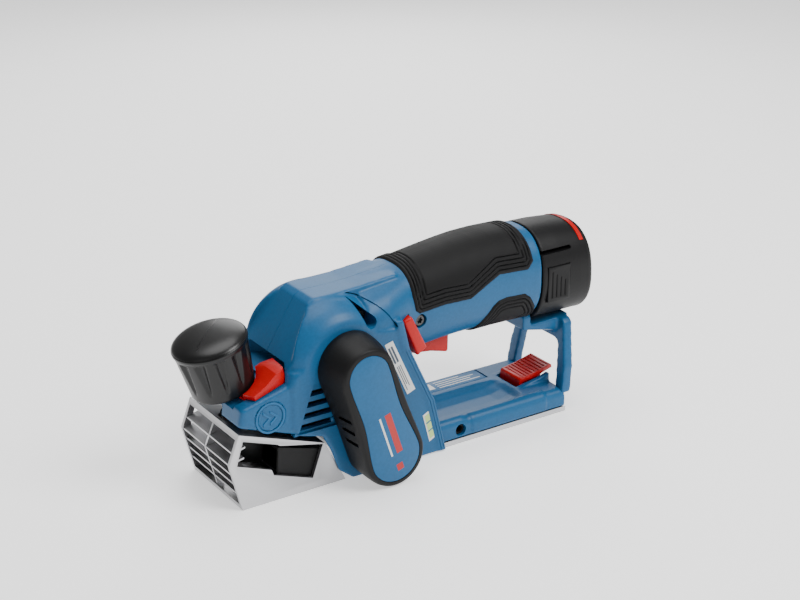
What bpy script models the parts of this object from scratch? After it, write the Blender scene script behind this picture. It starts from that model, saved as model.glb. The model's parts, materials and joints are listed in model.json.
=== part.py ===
"""Cordless hand planer, modelled as separate pieces in metres with +Z up.

X runs from the knob (-X) to the battery (+X), the belt cover is on the -Y side, the sole is on Z = 0
and the origin lies on the rear sole's underside, on the centre line.
"""

import math

import bmesh
import bpy
from mathutils import Vector

MM = 0.001
GAP = 0.3 * MM
WALL = 2.5 * MM

SOLE_HALF = 30.5 * MM
SOLE_THICK = 3.4 * MM
MOTOR_HALF = 34 * MM
DECK_HALF = 31 * MM

DRUM_X = -83 * MM
DRUM_Z = 20 * MM
DRUM_RADIUS = 18.5 * MM
CUTTING_RADIUS = 19.8 * MM
DRUM_HALF = 28 * MM
MOTOR_X = -103 * MM
MOTOR_Z = 75 * MM
STATOR_RADIUS = 21 * MM
SHAFT_RADIUS = 2.5 * MM
DRUM_PULLEY_RADIUS = 13.5 * MM
MOTOR_PULLEY_RADIUS = 9 * MM
BELT_THICK = 1.6 * MM
BELT_Y = -43 * MM
BELT_WIDTH = 9 * MM

KNOB_TILT = math.radians(14.5)
KNOB_FOOT = Vector((-165.3, 0, 64.25)) * MM
KNOB_RIM_RADIUS = 22.6 * MM
KNOB_FOOT_RADIUS = 19.2 * MM
KNOB_HEIGHT = 31 * MM
KNOB_DOME = 6.5 * MM

HANDLE_END = 46 * MM
BATTERY_REAR = 88 * MM
CELL_RADIUS = 9 * MM
CELL_LENGTH = 65 * MM
SLEEVE_RADIUS = 21.6 * MM
SLEEVE_CENTRE_Z = 92 * MM

COVER_FACE_Y = -56 * MM
COVER_BACK_Y = -34.4 * MM

TRIGGER_PIVOT = Vector((-44, 0, 64)) * MM
PARK_PIVOT = Vector((54, 0, 9)) * MM

SIDES = 24
FINE_SIDES = 32
SMALL_SIDES = 12


# ---------------------------------------------------------------- materials

def finish(name, colour, roughness, metallic=0.0):
    """One Principled material of one colour, roughness and metallic value."""
    material = bpy.data.materials.new(name)
    material.use_nodes = True
    shader = material.node_tree.nodes["Principled BSDF"]
    shader.inputs["Base Color"].default_value = (*colour, 1)
    shader.inputs["Roughness"].default_value = roughness
    shader.inputs["Metallic"].default_value = metallic
    return material


def blue_plastic():
    return finish("blue_plastic", (0.026, 0.162, 0.314), 0.5)


def black_plastic():
    return finish("black_plastic", (0.026, 0.026, 0.028), 0.5)


def rubber():
    return finish("rubber", (0.018, 0.018, 0.019), 0.75)


def red_plastic():
    return finish("red_plastic", (0.72, 0.017, 0.015), 0.4)


def cast_aluminium():
    return finish("cast_aluminium", (0.6, 0.6, 0.6), 0.4, 0.9)


def steel():
    return finish("steel", (0.5, 0.5, 0.51), 0.35, 1.0)


def copper():
    return finish("copper", (0.6, 0.27, 0.12), 0.35, 1.0)


def label_white():
    return finish("label_white", (0.7, 0.7, 0.68), 0.5)


# ---------------------------------------------------------------- mesh tools

def mm(*pairs):
    """Outline points given in millimetres, as metres."""
    return [(a * MM, b * MM) for a, b in pairs]


def add_object(name, bm, material):
    """Puts a closed mesh into the scene as one named object."""
    bmesh.ops.recalc_face_normals(bm, faces=bm.faces)
    mesh = bpy.data.meshes.new(name)
    bm.to_mesh(mesh)
    bm.free()
    part = bpy.data.objects.new(name, mesh)
    bpy.context.collection.objects.link(part)
    mesh.materials.append(material)
    return part


def bridge(bm, lower, upper):
    """Joins two rings of vertices with a band of faces, point to point."""
    for index in range(len(lower)):
        bm.faces.new((lower[index - 1], lower[index], upper[index], upper[index - 1]))


def skin(rings, closed=False):
    """Closed mesh skinned over rings: with flat ends, or closed back onto its first ring."""
    bm = bmesh.new()
    loops = [[bm.verts.new(point) for point in ring] for ring in rings]
    for lower, upper in zip(loops, loops[1:]):
        bridge(bm, lower, upper)
    if closed:
        bridge(bm, loops[-1], loops[0])
    else:
        bm.faces.new(loops[0])
        bm.faces.new(loops[-1])
    return bm


def prism_y(outline, low, high):
    """Outline in the XZ plane, run along Y."""
    return skin([[(x, y, z) for x, z in outline] for y in (low, high)])


def prism_x(outline, low, high, shear=0.0):
    """Outline in the YZ plane, run along X, and leaning in X by shear for each metre of Z."""
    return skin([[(x + shear * z, y, z) for y, z in outline] for x in (low, high)])


def block(low, high):
    """Box between two corners given in metres."""
    (x0, y0, z0), (x1, y1, z1) = low, high
    return prism_y([(x0, z0), (x1, z0), (x1, z1), (x0, z1)], y0, y1)


def circle(radius, height, sides):
    """Ring of points about the local Z axis."""
    turn = 2 * math.pi / sides
    return [(radius * math.cos(i * turn), radius * math.sin(i * turn), height) for i in range(sides)]


def turned(profile, sides=SIDES):
    """Solid of revolution about local Z, from radius and height pairs."""
    return skin([circle(radius, height, sides) for radius, height in profile])


def tube(outer, bore, low, high, sides=SIDES):
    """Round sleeve about local Z."""
    corners = ((outer, low), (outer, high), (bore, high), (bore, low))
    return skin([circle(radius, height, sides) for radius, height in corners], closed=True)


def along_y(part, x, z, y=0.0):
    """Turns a piece's local Z axis to +Y and puts its origin on the axle at x, z."""
    part.location = (x, y, z)
    part.rotation_euler = (-math.pi / 2, 0, 0)
    return part


def on_knob_axis(part):
    """Puts a piece made about local Z on the tilted knob axis."""
    part.location = KNOB_FOOT
    part.rotation_euler = (0, -KNOB_TILT, 0)
    return part


def settle(part):
    """Applies a piece's modifiers."""
    bpy.context.view_layer.update()
    depsgraph = bpy.context.evaluated_depsgraph_get()
    part.data = bpy.data.meshes.new_from_object(part.evaluated_get(depsgraph))
    part.modifiers.clear()
    return part


def combine(part, operation, *tools):
    """Applies one Boolean after another and removes the tool pieces."""
    for tool in tools:
        modifier = part.modifiers.new("combine", "BOOLEAN")
        modifier.operation = operation
        modifier.object = tool
        settle(part)
        bpy.data.objects.remove(tool)
    return part


def cutter(bm):
    return add_object("cutter", bm, part_finish["steel"])


def shade_round(part):
    part.data.shade_smooth()
    part.data.set_sharp_from_angle(angle=math.radians(35))
    return part


def inset_outline(points, depth):
    """Outline moved inwards by a depth, with mitred corners; points run anticlockwise."""
    result = []
    count = len(points)
    for index in range(count):
        before = Vector(points[index - 1])
        here = Vector(points[index])
        after = Vector(points[(index + 1) % count])
        first = (here - before).normalized()
        second = (after - here).normalized()
        normal_a = Vector((-first.y, first.x))
        normal_b = Vector((-second.y, second.x))
        mitre = (normal_a + normal_b).normalized()
        result.append(tuple(here + mitre * depth / max(0.4, mitre.dot(normal_a))))
    return result


def superellipse(x, centre_z, half_y, half_z, power=2.4, sides=SIDES):
    """Rounded section of the handle in the plane at x."""
    points = []
    for index in range(sides):
        angle = 2 * math.pi * index / sides
        across = math.copysign(abs(math.cos(angle)) ** (2 / power), math.cos(angle))
        up = math.copysign(abs(math.sin(angle)) ** (2 / power), math.sin(angle))
        points.append((x, half_y * across, centre_z + half_z * up))
    return points


def two_lobes(low_x, low_z, low_radius, high_x, high_z, high_radius, sides=10):
    """Outline round two circles and the two straight tangents between them."""
    delta = Vector((high_x - low_x, high_z - low_z))
    heading = math.atan2(delta.y, delta.x)
    spread = math.acos((low_radius - high_radius) / delta.length)
    points = []
    for index in range(sides + 1):
        angle = heading + spread + (2 * math.pi - 2 * spread) * index / sides
        points.append((low_x + low_radius * math.cos(angle), low_z + low_radius * math.sin(angle)))
    for index in range(sides + 1):
        angle = heading - spread + 2 * spread * index / sides
        points.append((high_x + high_radius * math.cos(angle), high_z + high_radius * math.sin(angle)))
    return points


def coil_spring(name, radius, wire, height, turns, material):
    """Open coil about local Z with capped ends."""
    steps = 10
    curve = bpy.data.curves.new(name, "CURVE")
    curve.dimensions = "3D"
    curve.bevel_depth = wire
    curve.bevel_resolution = 0
    curve.use_fill_caps = True
    spline = curve.splines.new("POLY")
    count = turns * steps + 1
    spline.points.add(count - 1)
    for index in range(count):
        angle = 2 * math.pi * index / steps
        lift = height * index / (count - 1)
        spline.points[index].co = (radius * math.cos(angle), radius * math.sin(angle), lift, 1)
    part = bpy.data.objects.new(name, curve)
    bpy.context.collection.objects.link(part)
    curve.materials.append(material)
    return part


# ---------------------------------------------------------------- sole and base

def rear_sole():
    outline = mm((-70, 0.9), (-69.1, 0), (65, 0), (65, 3.4), (-70, 3.4))
    part = add_object("rear_sole", prism_y(outline, -SOLE_HALF, SOLE_HALF), part_finish["aluminium"])
    for x, y in sole_screw_places():
        hole = cutter(turned([(3.3 * MM, -1 * MM), (3.3 * MM, 2.0 * MM), (1.9 * MM, 2.0 * MM),
                              (1.9 * MM, 5 * MM)], SMALL_SIDES))
        hole.location = (x, y, 0)
        combine(part, "DIFFERENCE", hole)
    slot = cutter(block((36.6 * MM, -7 * MM, -1 * MM), (58.4 * MM, 7 * MM, 5 * MM)))
    return combine(part, "DIFFERENCE", slot)


def sole_screw_places():
    return [(x * MM, side * 22 * MM) for x in (-52, 28) for side in (-1, 1)]


def sole_screws():
    for number, (x, y) in enumerate(sole_screw_places(), 1):
        profile = [(2.9 * MM, 0.4 * MM), (2.9 * MM, 1.7 * MM), (1.5 * MM, 1.7 * MM), (1.5 * MM, 9 * MM)]
        part = add_object("sole_screw_%d" % number, turned(profile, SMALL_SIDES), part_finish["steel"])
        part.location = (x, y, 0)
        shade_round(part)


def base_body():
    """Tray under the handle, with the cheeks and the back wall of the cutter housing."""
    floor = SOLE_THICK + GAP
    side = SOLE_HALF - 0.2 * MM
    tray = mm((-72, 3.7), (65, 3.7), (65, 11.8), (40, 13.6), (-20, 16), (-41.5, 16), (-56, 44), (-60.5, 44),
              (-60.5, 24))
    part = add_object("base_body", prism_y(tray, -side, side), part_finish["blue"])
    cheek = mm((-98.5, 3.7), (-58, 3.7), (-58, 43.5), (-112, 43.5), (-112, 33))
    for low, high in ((-31.2, -28.6), (28.6, 31.2)):
        combine(part, "UNION", cutter(prism_y(cheek, low * MM, high * MM)))
    drum_room = along_y(cutter(turned([(21 * MM, -28.6 * MM), (21 * MM, 28.6 * MM)], FINE_SIDES)), DRUM_X, DRUM_Z)
    combine(part, "DIFFERENCE", drum_room)
    for low, high in ((-33, -28), (28, 33)):
        seat = along_y(cutter(turned([(9.3 * MM, low * MM), (9.3 * MM, high * MM)])), DRUM_X, DRUM_Z)
        combine(part, "DIFFERENCE", seat)
    trough = add_object("cutter", skin([
        [(x * MM, y * MM, 30 * MM) for x, y in ((-30, -25), (40, -25), (40, 8), (-30, 8))],
        [(x * MM, y * MM, 10 * MM) for x, y in ((-24, -20), (36, -20), (36, 4), (-24, 4))],
    ]), part_finish["steel"])
    lever_room = cutter(block((36.6 * MM, -11.5 * MM, floor - 1 * MM), (62 * MM, 11.5 * MM, 30 * MM)))
    pin_hole = along_y(cutter(turned([(1.8 * MM, -16 * MM), (1.8 * MM, 16 * MM)], SMALL_SIDES)),
                       PARK_PIVOT.x, PARK_PIVOT.z)
    insert_hole = along_y(cutter(turned([(3.9 * MM, -32 * MM), (3.9 * MM, -18 * MM)], 16)), -18 * MM, 9 * MM)
    combine(part, "DIFFERENCE", trough, lever_room, pin_hole, insert_hole)
    for x, y in sole_screw_places():
        hole = cutter(turned([(1.8 * MM, 0), (1.8 * MM, 9.5 * MM)], SMALL_SIDES))
        hole.location = (x, y, 0)
        combine(part, "DIFFERENCE", hole)
    label_bed = cutter(block((-14 * MM, 12 * MM, 13.6 * MM), (34 * MM, 27 * MM, 30 * MM)))
    combine(part, "DIFFERENCE", label_bed)
    return part


def guide_insert():
    """Threaded brass bush in the side of the tray, for a fence or a depth stop."""
    part = add_object("guide_insert", tube(3.7 * MM, 2.4 * MM, 0, 9 * MM, 16), part_finish["copper"])
    return along_y(shade_round(part), -18 * MM, 9 * MM, -28 * MM)


def rating_label():
    return add_object("rating_label", block((-13 * MM, 13 * MM, 13.9 * MM), (33 * MM, 26 * MM, 14.7 * MM)),
                      part_finish["white"])


# ---------------------------------------------------------------- front shoe and its depth drive

SHOE_SIDE = mm((-102.5, 0), (-116.4, 28), (-172.6, 48.5), (-179.5, 30.4), (-172, 0))
WINDOW = mm((-125, 7.3), (-117.7, 27.7), (-146.5, 34.6), (-148, 35.8), (-170.3, 43.9), (-174.7, 29.3),
            (-152.3, 20.6), (-151, 16.8))


def front_shoe():
    """Cast channel: bottom plate, two windowed sides, sloping top, ribbed front, open at the rear."""
    part = add_object("front_shoe", prism_y(SHOE_SIDE, -SOLE_HALF, SOLE_HALF), part_finish["aluminium"])
    hollow = mm((-90, 3.4), (-90, 19), (-116.5, 25.2), (-170.6, 45), (-187.5, 45), (-190, 30.4), (-182, 3.4))
    inside = SOLE_HALF - 2.4 * MM
    combine(part, "DIFFERENCE", cutter(prism_y(hollow, -inside, inside)))
    reach = SOLE_HALF + 1 * MM
    combine(part, "DIFFERENCE", cutter(prism_y(WINDOW, -reach, reach)))
    upright = mm((-168, 2), (-168, 46.6), (-171.6, 48), (-179.2, 30.4), (-171.8, 2))
    fins = [prism_y(upright, -0.9 * MM, 0.9 * MM)]
    for z, front, back in ((10.5, -174, -165.5), (17, -175.6, -167), (23.5, -177.2, -168), (30.4, -178.9, -169),
                           (37, -176.4, -168)):
        fin = mm((front, z - 0.6), (back, z + 1.4), (back, z + 2.6), (front, z + 0.6))
        fins.append(prism_y(fin, -29 * MM, 29 * MM))
    for bm in fins:
        combine(part, "UNION", cutter(bm))
    boss = on_knob_axis(cutter(turned([(7 * MM, -64 * MM), (7 * MM, -50 * MM)], 16)))
    floor = cutter(block((-170 * MM, -12 * MM, 0.5 * MM), (-140 * MM, 12 * MM, 30 * MM)))
    combine(boss, "INTERSECT", floor)
    combine(part, "UNION", boss)
    thread = on_knob_axis(cutter(turned([(3.4 * MM, -63.2 * MM), (3.4 * MM, -40 * MM)], 16)))
    passage = on_knob_axis(cutter(turned([(8 * MM, -44 * MM), (8 * MM, 0)], 16)))
    return combine(part, "DIFFERENCE", thread, passage)


def knob_profile():
    """Radius and height along the knob, from its foot to its domed top."""
    rows = [(KNOB_FOOT_RADIUS - 1 * MM, 0), (KNOB_FOOT_RADIUS, 1 * MM), (KNOB_RIM_RADIUS - 0.6 * MM, 28 * MM),
            (KNOB_RIM_RADIUS, 31 * MM)]
    for share in (0.9, 0.7, 0.4, 0.12):
        rows.append((KNOB_RIM_RADIUS * share, KNOB_HEIGHT + KNOB_DOME * math.sqrt(1 - share * share)))
    return [(radius, height + 0.9 * MM) for radius, height in rows]


def depth_knob():
    part = add_object("depth_knob", turned(knob_profile(), FINE_SIDES), part_finish["black"])
    socket = cutter(turned([(4.6 * MM, -5 * MM), (4.6 * MM, 16.4 * MM)], 16))
    ring_seat = cutter(turned([(17.6 * MM, -1 * MM), (17.6 * MM, 3.4 * MM)]))
    combine(part, "DIFFERENCE", ring_seat, socket)
    return on_knob_axis(shade_round(part))


def depth_spindle():
    """Threaded rod from the knob to the shoe, with a collar under the knob."""
    profile = [(3 * MM, -60 * MM), (3 * MM, -15.6 * MM), (4.2 * MM, -15.6 * MM), (4.2 * MM, 16 * MM)]
    part = add_object("depth_spindle", turned(profile, 16), part_finish["steel"])
    return on_knob_axis(shade_round(part))


def depth_scale_ring():
    """Flat ring with the depth scale, clipped into the knob's foot."""
    part = add_object("depth_scale_ring", tube(17.2 * MM, 11.8 * MM, 1.2 * MM, 3.0 * MM), part_finish["steel"])
    return on_knob_axis(part)


def spindle_spring():
    """Coil that takes the play out of the depth thread."""
    part = coil_spring("spindle_spring", 4.8 * MM, 0.6 * MM, 6.6 * MM, 3, part_finish["steel"])
    on_knob_axis(part)
    part.location = KNOB_FOOT + Vector((math.sin(KNOB_TILT), 0, -math.cos(KNOB_TILT))) * 49 * MM
    return part


# ---------------------------------------------------------------- chip ejector

LEVER_START = math.radians(-84)
LEVER_SWEEP = math.radians(66)
LEVER_INNER = 20.6 * MM


def lever_arc(radius, start, sweep, steps=8):
    """Points on an arc about the knob axis."""
    points = []
    for index in range(steps + 1):
        angle = start + sweep * index / steps
        points.append((radius * math.cos(angle), radius * math.sin(angle)))
    return points


def lever_sector(inner, outer, margin, steps):
    """Ring sector under the lever, between two radii in millimetres, short of its ends by a margin angle."""
    start, sweep = LEVER_START + margin, LEVER_SWEEP - 2 * margin
    return lever_arc(inner * MM, start, sweep, steps) + lever_arc(outer * MM, start + sweep, -sweep, steps)


def knob_slab(outline, low, high):
    """Flat slab square to the knob axis, between two heights in millimetres."""
    return cutter(skin([[(u, v, w * MM) for u, v in outline] for w in (low, high)]))


def deflector_lever():
    """Red selector lever round the knob's foot, with the flange and sleeve that turn the chip vane."""
    corner = mm((30.5, -9), (29.5, -21), (24.5, -26), (4.5, -28.5))
    outline = lever_arc(LEVER_INNER, LEVER_START, LEVER_SWEEP) + corner
    part = knob_slab(outline, 0.4, 8.2)
    part.name = "deflector_lever"
    part.data.materials.clear()
    part.data.materials.append(part_finish["red"])
    wedge = [(u * MM, w * MM) for u, w in ((-4, 3.2), (9, 3.2), (22, 9), (22, 20), (-4, 20))]
    slope = cutter(skin([[(u, v * MM, w) for u, w in wedge] for v in (-34, -10)]))
    combine(part, "DIFFERENCE", slope)
    web = knob_slab(lever_sector(20.95, 21.9, 0.1, 7), -1.5, 1.1)
    flange = knob_slab(lever_sector(5.3, 21.4, 0.04, 6), -2.0, -0.4)
    sleeve = cutter(tube(6.2 * MM, 4.6 * MM, -14.6 * MM, -0.9 * MM))
    return on_knob_axis(combine(part, "UNION", web, flange, sleeve))


def chip_vane():
    """Black vane on the lever's shaft that turns the chips to one side or the other."""
    part = add_object("chip_vane", tube(6.2 * MM, 4.4 * MM, -41 * MM, -15 * MM), part_finish["black"])
    angle = math.radians(-49)
    along = Vector((math.cos(angle), math.sin(angle)))
    across = Vector((-along.y, along.x))
    corners = []
    for reach, side in ((5.4, -1), (9.6, -1), (9.6, 1), (5.4, 1)):
        corners.append(along * reach * MM + across * side * 0.9 * MM)
    plate = cutter(skin([[(p.x, p.y, w * MM) for p in corners] for w in (-40.4, -31.5)]))
    return on_knob_axis(combine(part, "UNION", plate))


def chip_duct():
    """Black tunnel that leads the chips from the drum into the shoe."""
    outer = mm((-147, 8), (-109, 8), (-113.5, 22), (-146, 32))
    inner = mm((-149, 10), (-105, 10), (-105, 18), (-113.5, 20), (-149, 30.5))
    half = SOLE_HALF - 3.0 * MM
    part = add_object("chip_duct", prism_y(outer, -half, half), part_finish["black"])
    tunnel = cutter(prism_y(inner, 1.8 * MM - half, half - 1.8 * MM))
    vane_room = cutter(block((-150 * MM, -17 * MM, 0), (-140.6 * MM, 17 * MM, 40 * MM)))
    return combine(part, "DIFFERENCE", tunnel, vane_room)


# ---------------------------------------------------------------- cutter, belt and motor

def cutter_drum():
    length = DRUM_HALF
    profile = [(4 * MM, -49.5 * MM), (4 * MM, -length), (DRUM_RADIUS, -length), (DRUM_RADIUS, length),
               (4 * MM, length), (4 * MM, 31.2 * MM)]
    part = add_object("cutter_drum", turned(profile, FINE_SIDES), part_finish["aluminium"])
    pocket = cutter(block((-3.2 * MM, 9 * MM, -30 * MM), (4.6 * MM, 22 * MM, 30 * MM)))
    combine(part, "DIFFERENCE", pocket)
    return along_y(shade_round(part), DRUM_X, DRUM_Z)


def planer_blade():
    part = add_object("planer_blade", block((-2.8 * MM, 12 * MM, -28 * MM), (-1.7 * MM, CUTTING_RADIUS, 28 * MM)),
                      part_finish["steel"])
    return along_y(part, DRUM_X, DRUM_Z)


def blade_clamp():
    part = add_object("blade_clamp", block((-1.4 * MM, 9.3 * MM, -27 * MM), (4.2 * MM, 17.4 * MM, 27 * MM)),
                      part_finish["aluminium"])
    for y in (-15, 15):
        hole = cutter(turned([(1.9 * MM, -1 * MM), (1.9 * MM, 5 * MM)], SMALL_SIDES))
        hole.rotation_euler = (0, math.pi / 2, 0)
        hole.location = (0, 13.2 * MM, y * MM)
        combine(part, "DIFFERENCE", hole)
    return along_y(part, DRUM_X, DRUM_Z)


def blade_screws():
    for number, y in enumerate((-15, 15), 1):
        part = add_object("blade_screw_%d" % number, turned([(1.6 * MM, 0), (1.6 * MM, 4.6 * MM)], SMALL_SIDES),
                          part_finish["steel"])
        part.location = (DRUM_X - 0.6 * MM, y * MM, DRUM_Z - 13.2 * MM)
        part.rotation_euler = (0, math.pi / 2, 0)
        shade_round(part)


def drum_bearings():
    for name, low, high in (("drum_bearing_left", -33.6, -28.5), ("drum_bearing_right", 28.5, 31.2)):
        part = add_object(name, tube(9 * MM, 4.3 * MM, low * MM, high * MM), part_finish["steel"])
        along_y(shade_round(part), DRUM_X, DRUM_Z)


def pulley(name, radius, bore, x, z):
    low = BELT_Y - BELT_WIDTH / 2 - 0.8 * MM
    high = BELT_Y + BELT_WIDTH / 2 + 0.8 * MM
    part = add_object(name, tube(radius, bore, low, high, FINE_SIDES), part_finish["steel"])
    return along_y(shade_round(part), x, z)


def pulleys():
    pulley("driven_pulley", DRUM_PULLEY_RADIUS, 4.3 * MM, DRUM_X, DRUM_Z)
    pulley("drive_pulley", MOTOR_PULLEY_RADIUS, SHAFT_RADIUS + 0.3 * MM, MOTOR_X, MOTOR_Z)


def drive_belt():
    """Flat closed band round the two pulleys."""
    near, far = BELT_Y - BELT_WIDTH / 2, BELT_Y + BELT_WIDTH / 2
    loops = []
    for extra in (0.4 * MM, 0.4 * MM + BELT_THICK):
        loops.append(two_lobes(DRUM_X, DRUM_Z, DRUM_PULLEY_RADIUS + extra, MOTOR_X, MOTOR_Z,
                               MOTOR_PULLEY_RADIUS + extra, 16))
    inner, outer = loops
    rings = [[(x, near, z) for x, z in inner], [(x, near, z) for x, z in outer],
             [(x, far, z) for x, z in outer], [(x, far, z) for x, z in inner]]
    return add_object("drive_belt", skin(rings, closed=True), part_finish["rubber"])


def motor():
    stator = add_object("motor_stator", tube(STATOR_RADIUS, 11.6 * MM, -20 * MM, 16 * MM, FINE_SIDES),
                        part_finish["copper"])
    along_y(shade_round(stator), MOTOR_X, MOTOR_Z)
    profile = [(SHAFT_RADIUS, -49 * MM), (SHAFT_RADIUS, -18 * MM), (11 * MM, -18 * MM), (11 * MM, 14 * MM),
               (SHAFT_RADIUS, 14 * MM), (SHAFT_RADIUS, 29 * MM)]
    rotor = add_object("motor_rotor", turned(profile), part_finish["steel"])
    along_y(shade_round(rotor), MOTOR_X, MOTOR_Z)
    for name, low, high in (("motor_bearing_left", -27, -22), ("motor_bearing_right", 24, 29)):
        bearing = add_object(name, tube(6.5 * MM, SHAFT_RADIUS + 0.3 * MM, low * MM, high * MM, 20),
                             part_finish["steel"])
        along_y(shade_round(bearing), MOTOR_X, MOTOR_Z)


def motor_fan():
    part = add_object("motor_fan", tube(7 * MM, SHAFT_RADIUS + 0.3 * MM, 17 * MM, 22.6 * MM, 20),
                      part_finish["black"])
    blades = 8
    for index in range(blades):
        vane = cutter(block((6 * MM, -0.6 * MM, 17.3 * MM), (19 * MM, 0.6 * MM, 22.3 * MM)))
        vane.rotation_euler = (0, 0, 2 * math.pi * index / blades)
        combine(part, "UNION", vane)
    return along_y(part, MOTOR_X, MOTOR_Z)


# ---------------------------------------------------------------- belt cover

def cover_outline(low_radius, high_x, high_radius):
    return two_lobes(DRUM_X, DRUM_Z + 0.7 * MM, low_radius, high_x, 74 * MM, high_radius)


def belt_cover():
    """Cup over the belt: wide at the wall, with a round-edged face and a shallow bed for the inlay."""
    stations = ((COVER_BACK_Y, 20, -105, 25), (-46 * MM, 20.2, -103.6, 22), (-53.5 * MM, 20, -101.6, 17.6),
                (COVER_FACE_Y, 18, -100.8, 15.4))
    rings = [[(x, y, z) for x, z in cover_outline(low * MM, high_x * MM, high * MM)]
             for y, low, high_x, high in stations]
    part = add_object("belt_cover", skin(rings), part_finish["black"])
    room = ((COVER_BACK_Y + 1 * MM, 17.7, -104.6, 22), (-46 * MM, 17.7, -103.4, 19.6),
            (-51.5 * MM, 17.7, -102, 15.8))
    rings = [[(x, y, z) for x, z in cover_outline(low * MM, high_x * MM, high * MM)]
             for y, low, high_x, high in room]
    combine(part, "DIFFERENCE", cutter(skin(rings)))
    bed = prism_y(cover_outline(15.6 * MM, -100.6 * MM, 11.4 * MM), COVER_FACE_Y - 1 * MM, COVER_FACE_Y + 1.4 * MM)
    combine(part, "DIFFERENCE", cutter(bed))
    for index in range(3):
        x = -124 + 4.6 * index
        z = 47 - 8 * index
        slit = cutter(block((x * MM, -51 * MM, z * MM), ((x + 14) * MM, -40 * MM, (z + 2.6) * MM)))
        combine(part, "DIFFERENCE", slit)
    return shade_round(part)


def belt_cover_inlay():
    outline = cover_outline(15.2 * MM, -100.6 * MM, 11.0 * MM)
    return add_object("belt_cover_inlay", prism_y(outline, COVER_FACE_Y, COVER_FACE_Y + 1.1 * MM),
                      part_finish["blue"])


# ---------------------------------------------------------------- clamshell housing

MOTOR_BLOCK = mm((-98.4, 0.6), (-46, 0.6), (-30.5, 0.6), (-40, 37), (-58, 75), (-60, 100), (-57.5, 115.5),
                 (-82, 113.8), (-112, 113.6), (-118, 110.4), (-128, 95), (-138, 78), (-141, 70), (-140, 43),
                 (-133, 37.6), (-118.6, 33.6), (-113.2, 22.9), (-107.6, 7.9))
SOFT_POINTS = (6, 7, 8, 9, 10, 11)
DECK_BLOCK = mm((-134, 38.1), (-127, 39), (-127, 73.6), (-141, 70.2), (-170.4, 63.0), (-172.2, 52.3))
HANDLE = ((-76, 88, 20, 21), (-58, 90, 23.5, 26.5), (-35, 90.5, 24.5, 29.5), (-10, 92.5, 25, 31),
          (15, 93.5, 25.5, 31.8), (35, 93, 26, 31.6), (46, 92.4, 26.4, 31.2))
BLOCK_CENTRE = Vector((-92, 60)) * MM


def motor_block(depth):
    """Motor housing with rounded shoulders, inset from its outer faces by a depth."""
    outline = inset_outline(MOTOR_BLOCK, depth)
    rings = []
    for y, pull in ((-34, 0.17), (-31.5, 0.1), (-26, 0.045), (-16, 0), (16, 0), (26, 0.045), (31.5, 0.1),
                    (34, 0.17)):
        ring = []
        for index, point in enumerate(outline):
            place = Vector(point)
            if index in SOFT_POINTS:
                place = place.lerp(BLOCK_CENTRE, pull)
            ring.append((place.x, y * MM * (MOTOR_HALF - depth) / MOTOR_HALF, place.y))
        rings.append(ring)
    return cutter(skin(rings))


def deck_block(depth):
    """Low block under the knob."""
    side = DECK_HALF - depth
    return cutter(prism_y(inset_outline(DECK_BLOCK, depth), -side, side))


def handle(depth, reach=0.0):
    """Arched grip that ends in the battery collar; reach lengthens its open end."""
    rings = []
    for x, centre_z, half_y, half_z in HANDLE:
        rings.append(superellipse(x * MM, centre_z * MM, half_y * MM - depth, half_z * MM - depth))
    if reach:
        rings.append([(x + reach, y, z) for x, y, z in rings[-1]])
    return cutter(skin(rings))


def bracket():
    """Arch behind the handle that stands on the rear end of the tray, with its lip under the battery."""
    outline = mm((-30.3, 12.2), (30.3, 12.2), (29, 30), (22, 60.6), (-22, 60.6), (-29, 30))
    part = cutter(prism_x(outline, 61.2 * MM, 67.4 * MM, 0.12))
    window = mm((-22.5, -1), (22.5, -1), (21, 22), (15.5, 46), (-15.5, 46), (-21, 22))
    combine(part, "DIFFERENCE", cutter(prism_x(window, 40 * MM, 90 * MM)))
    lip = mm((40, 66), (40, 57), (66, 50), (72.6, 50), (78.5, 60.6), (64, 60.2), (46.2, 59.9), (46.2, 66))
    return combine(part, "UNION", cutter(prism_y(list(reversed(lip)), -14.2 * MM, 14.2 * MM)))


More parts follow.
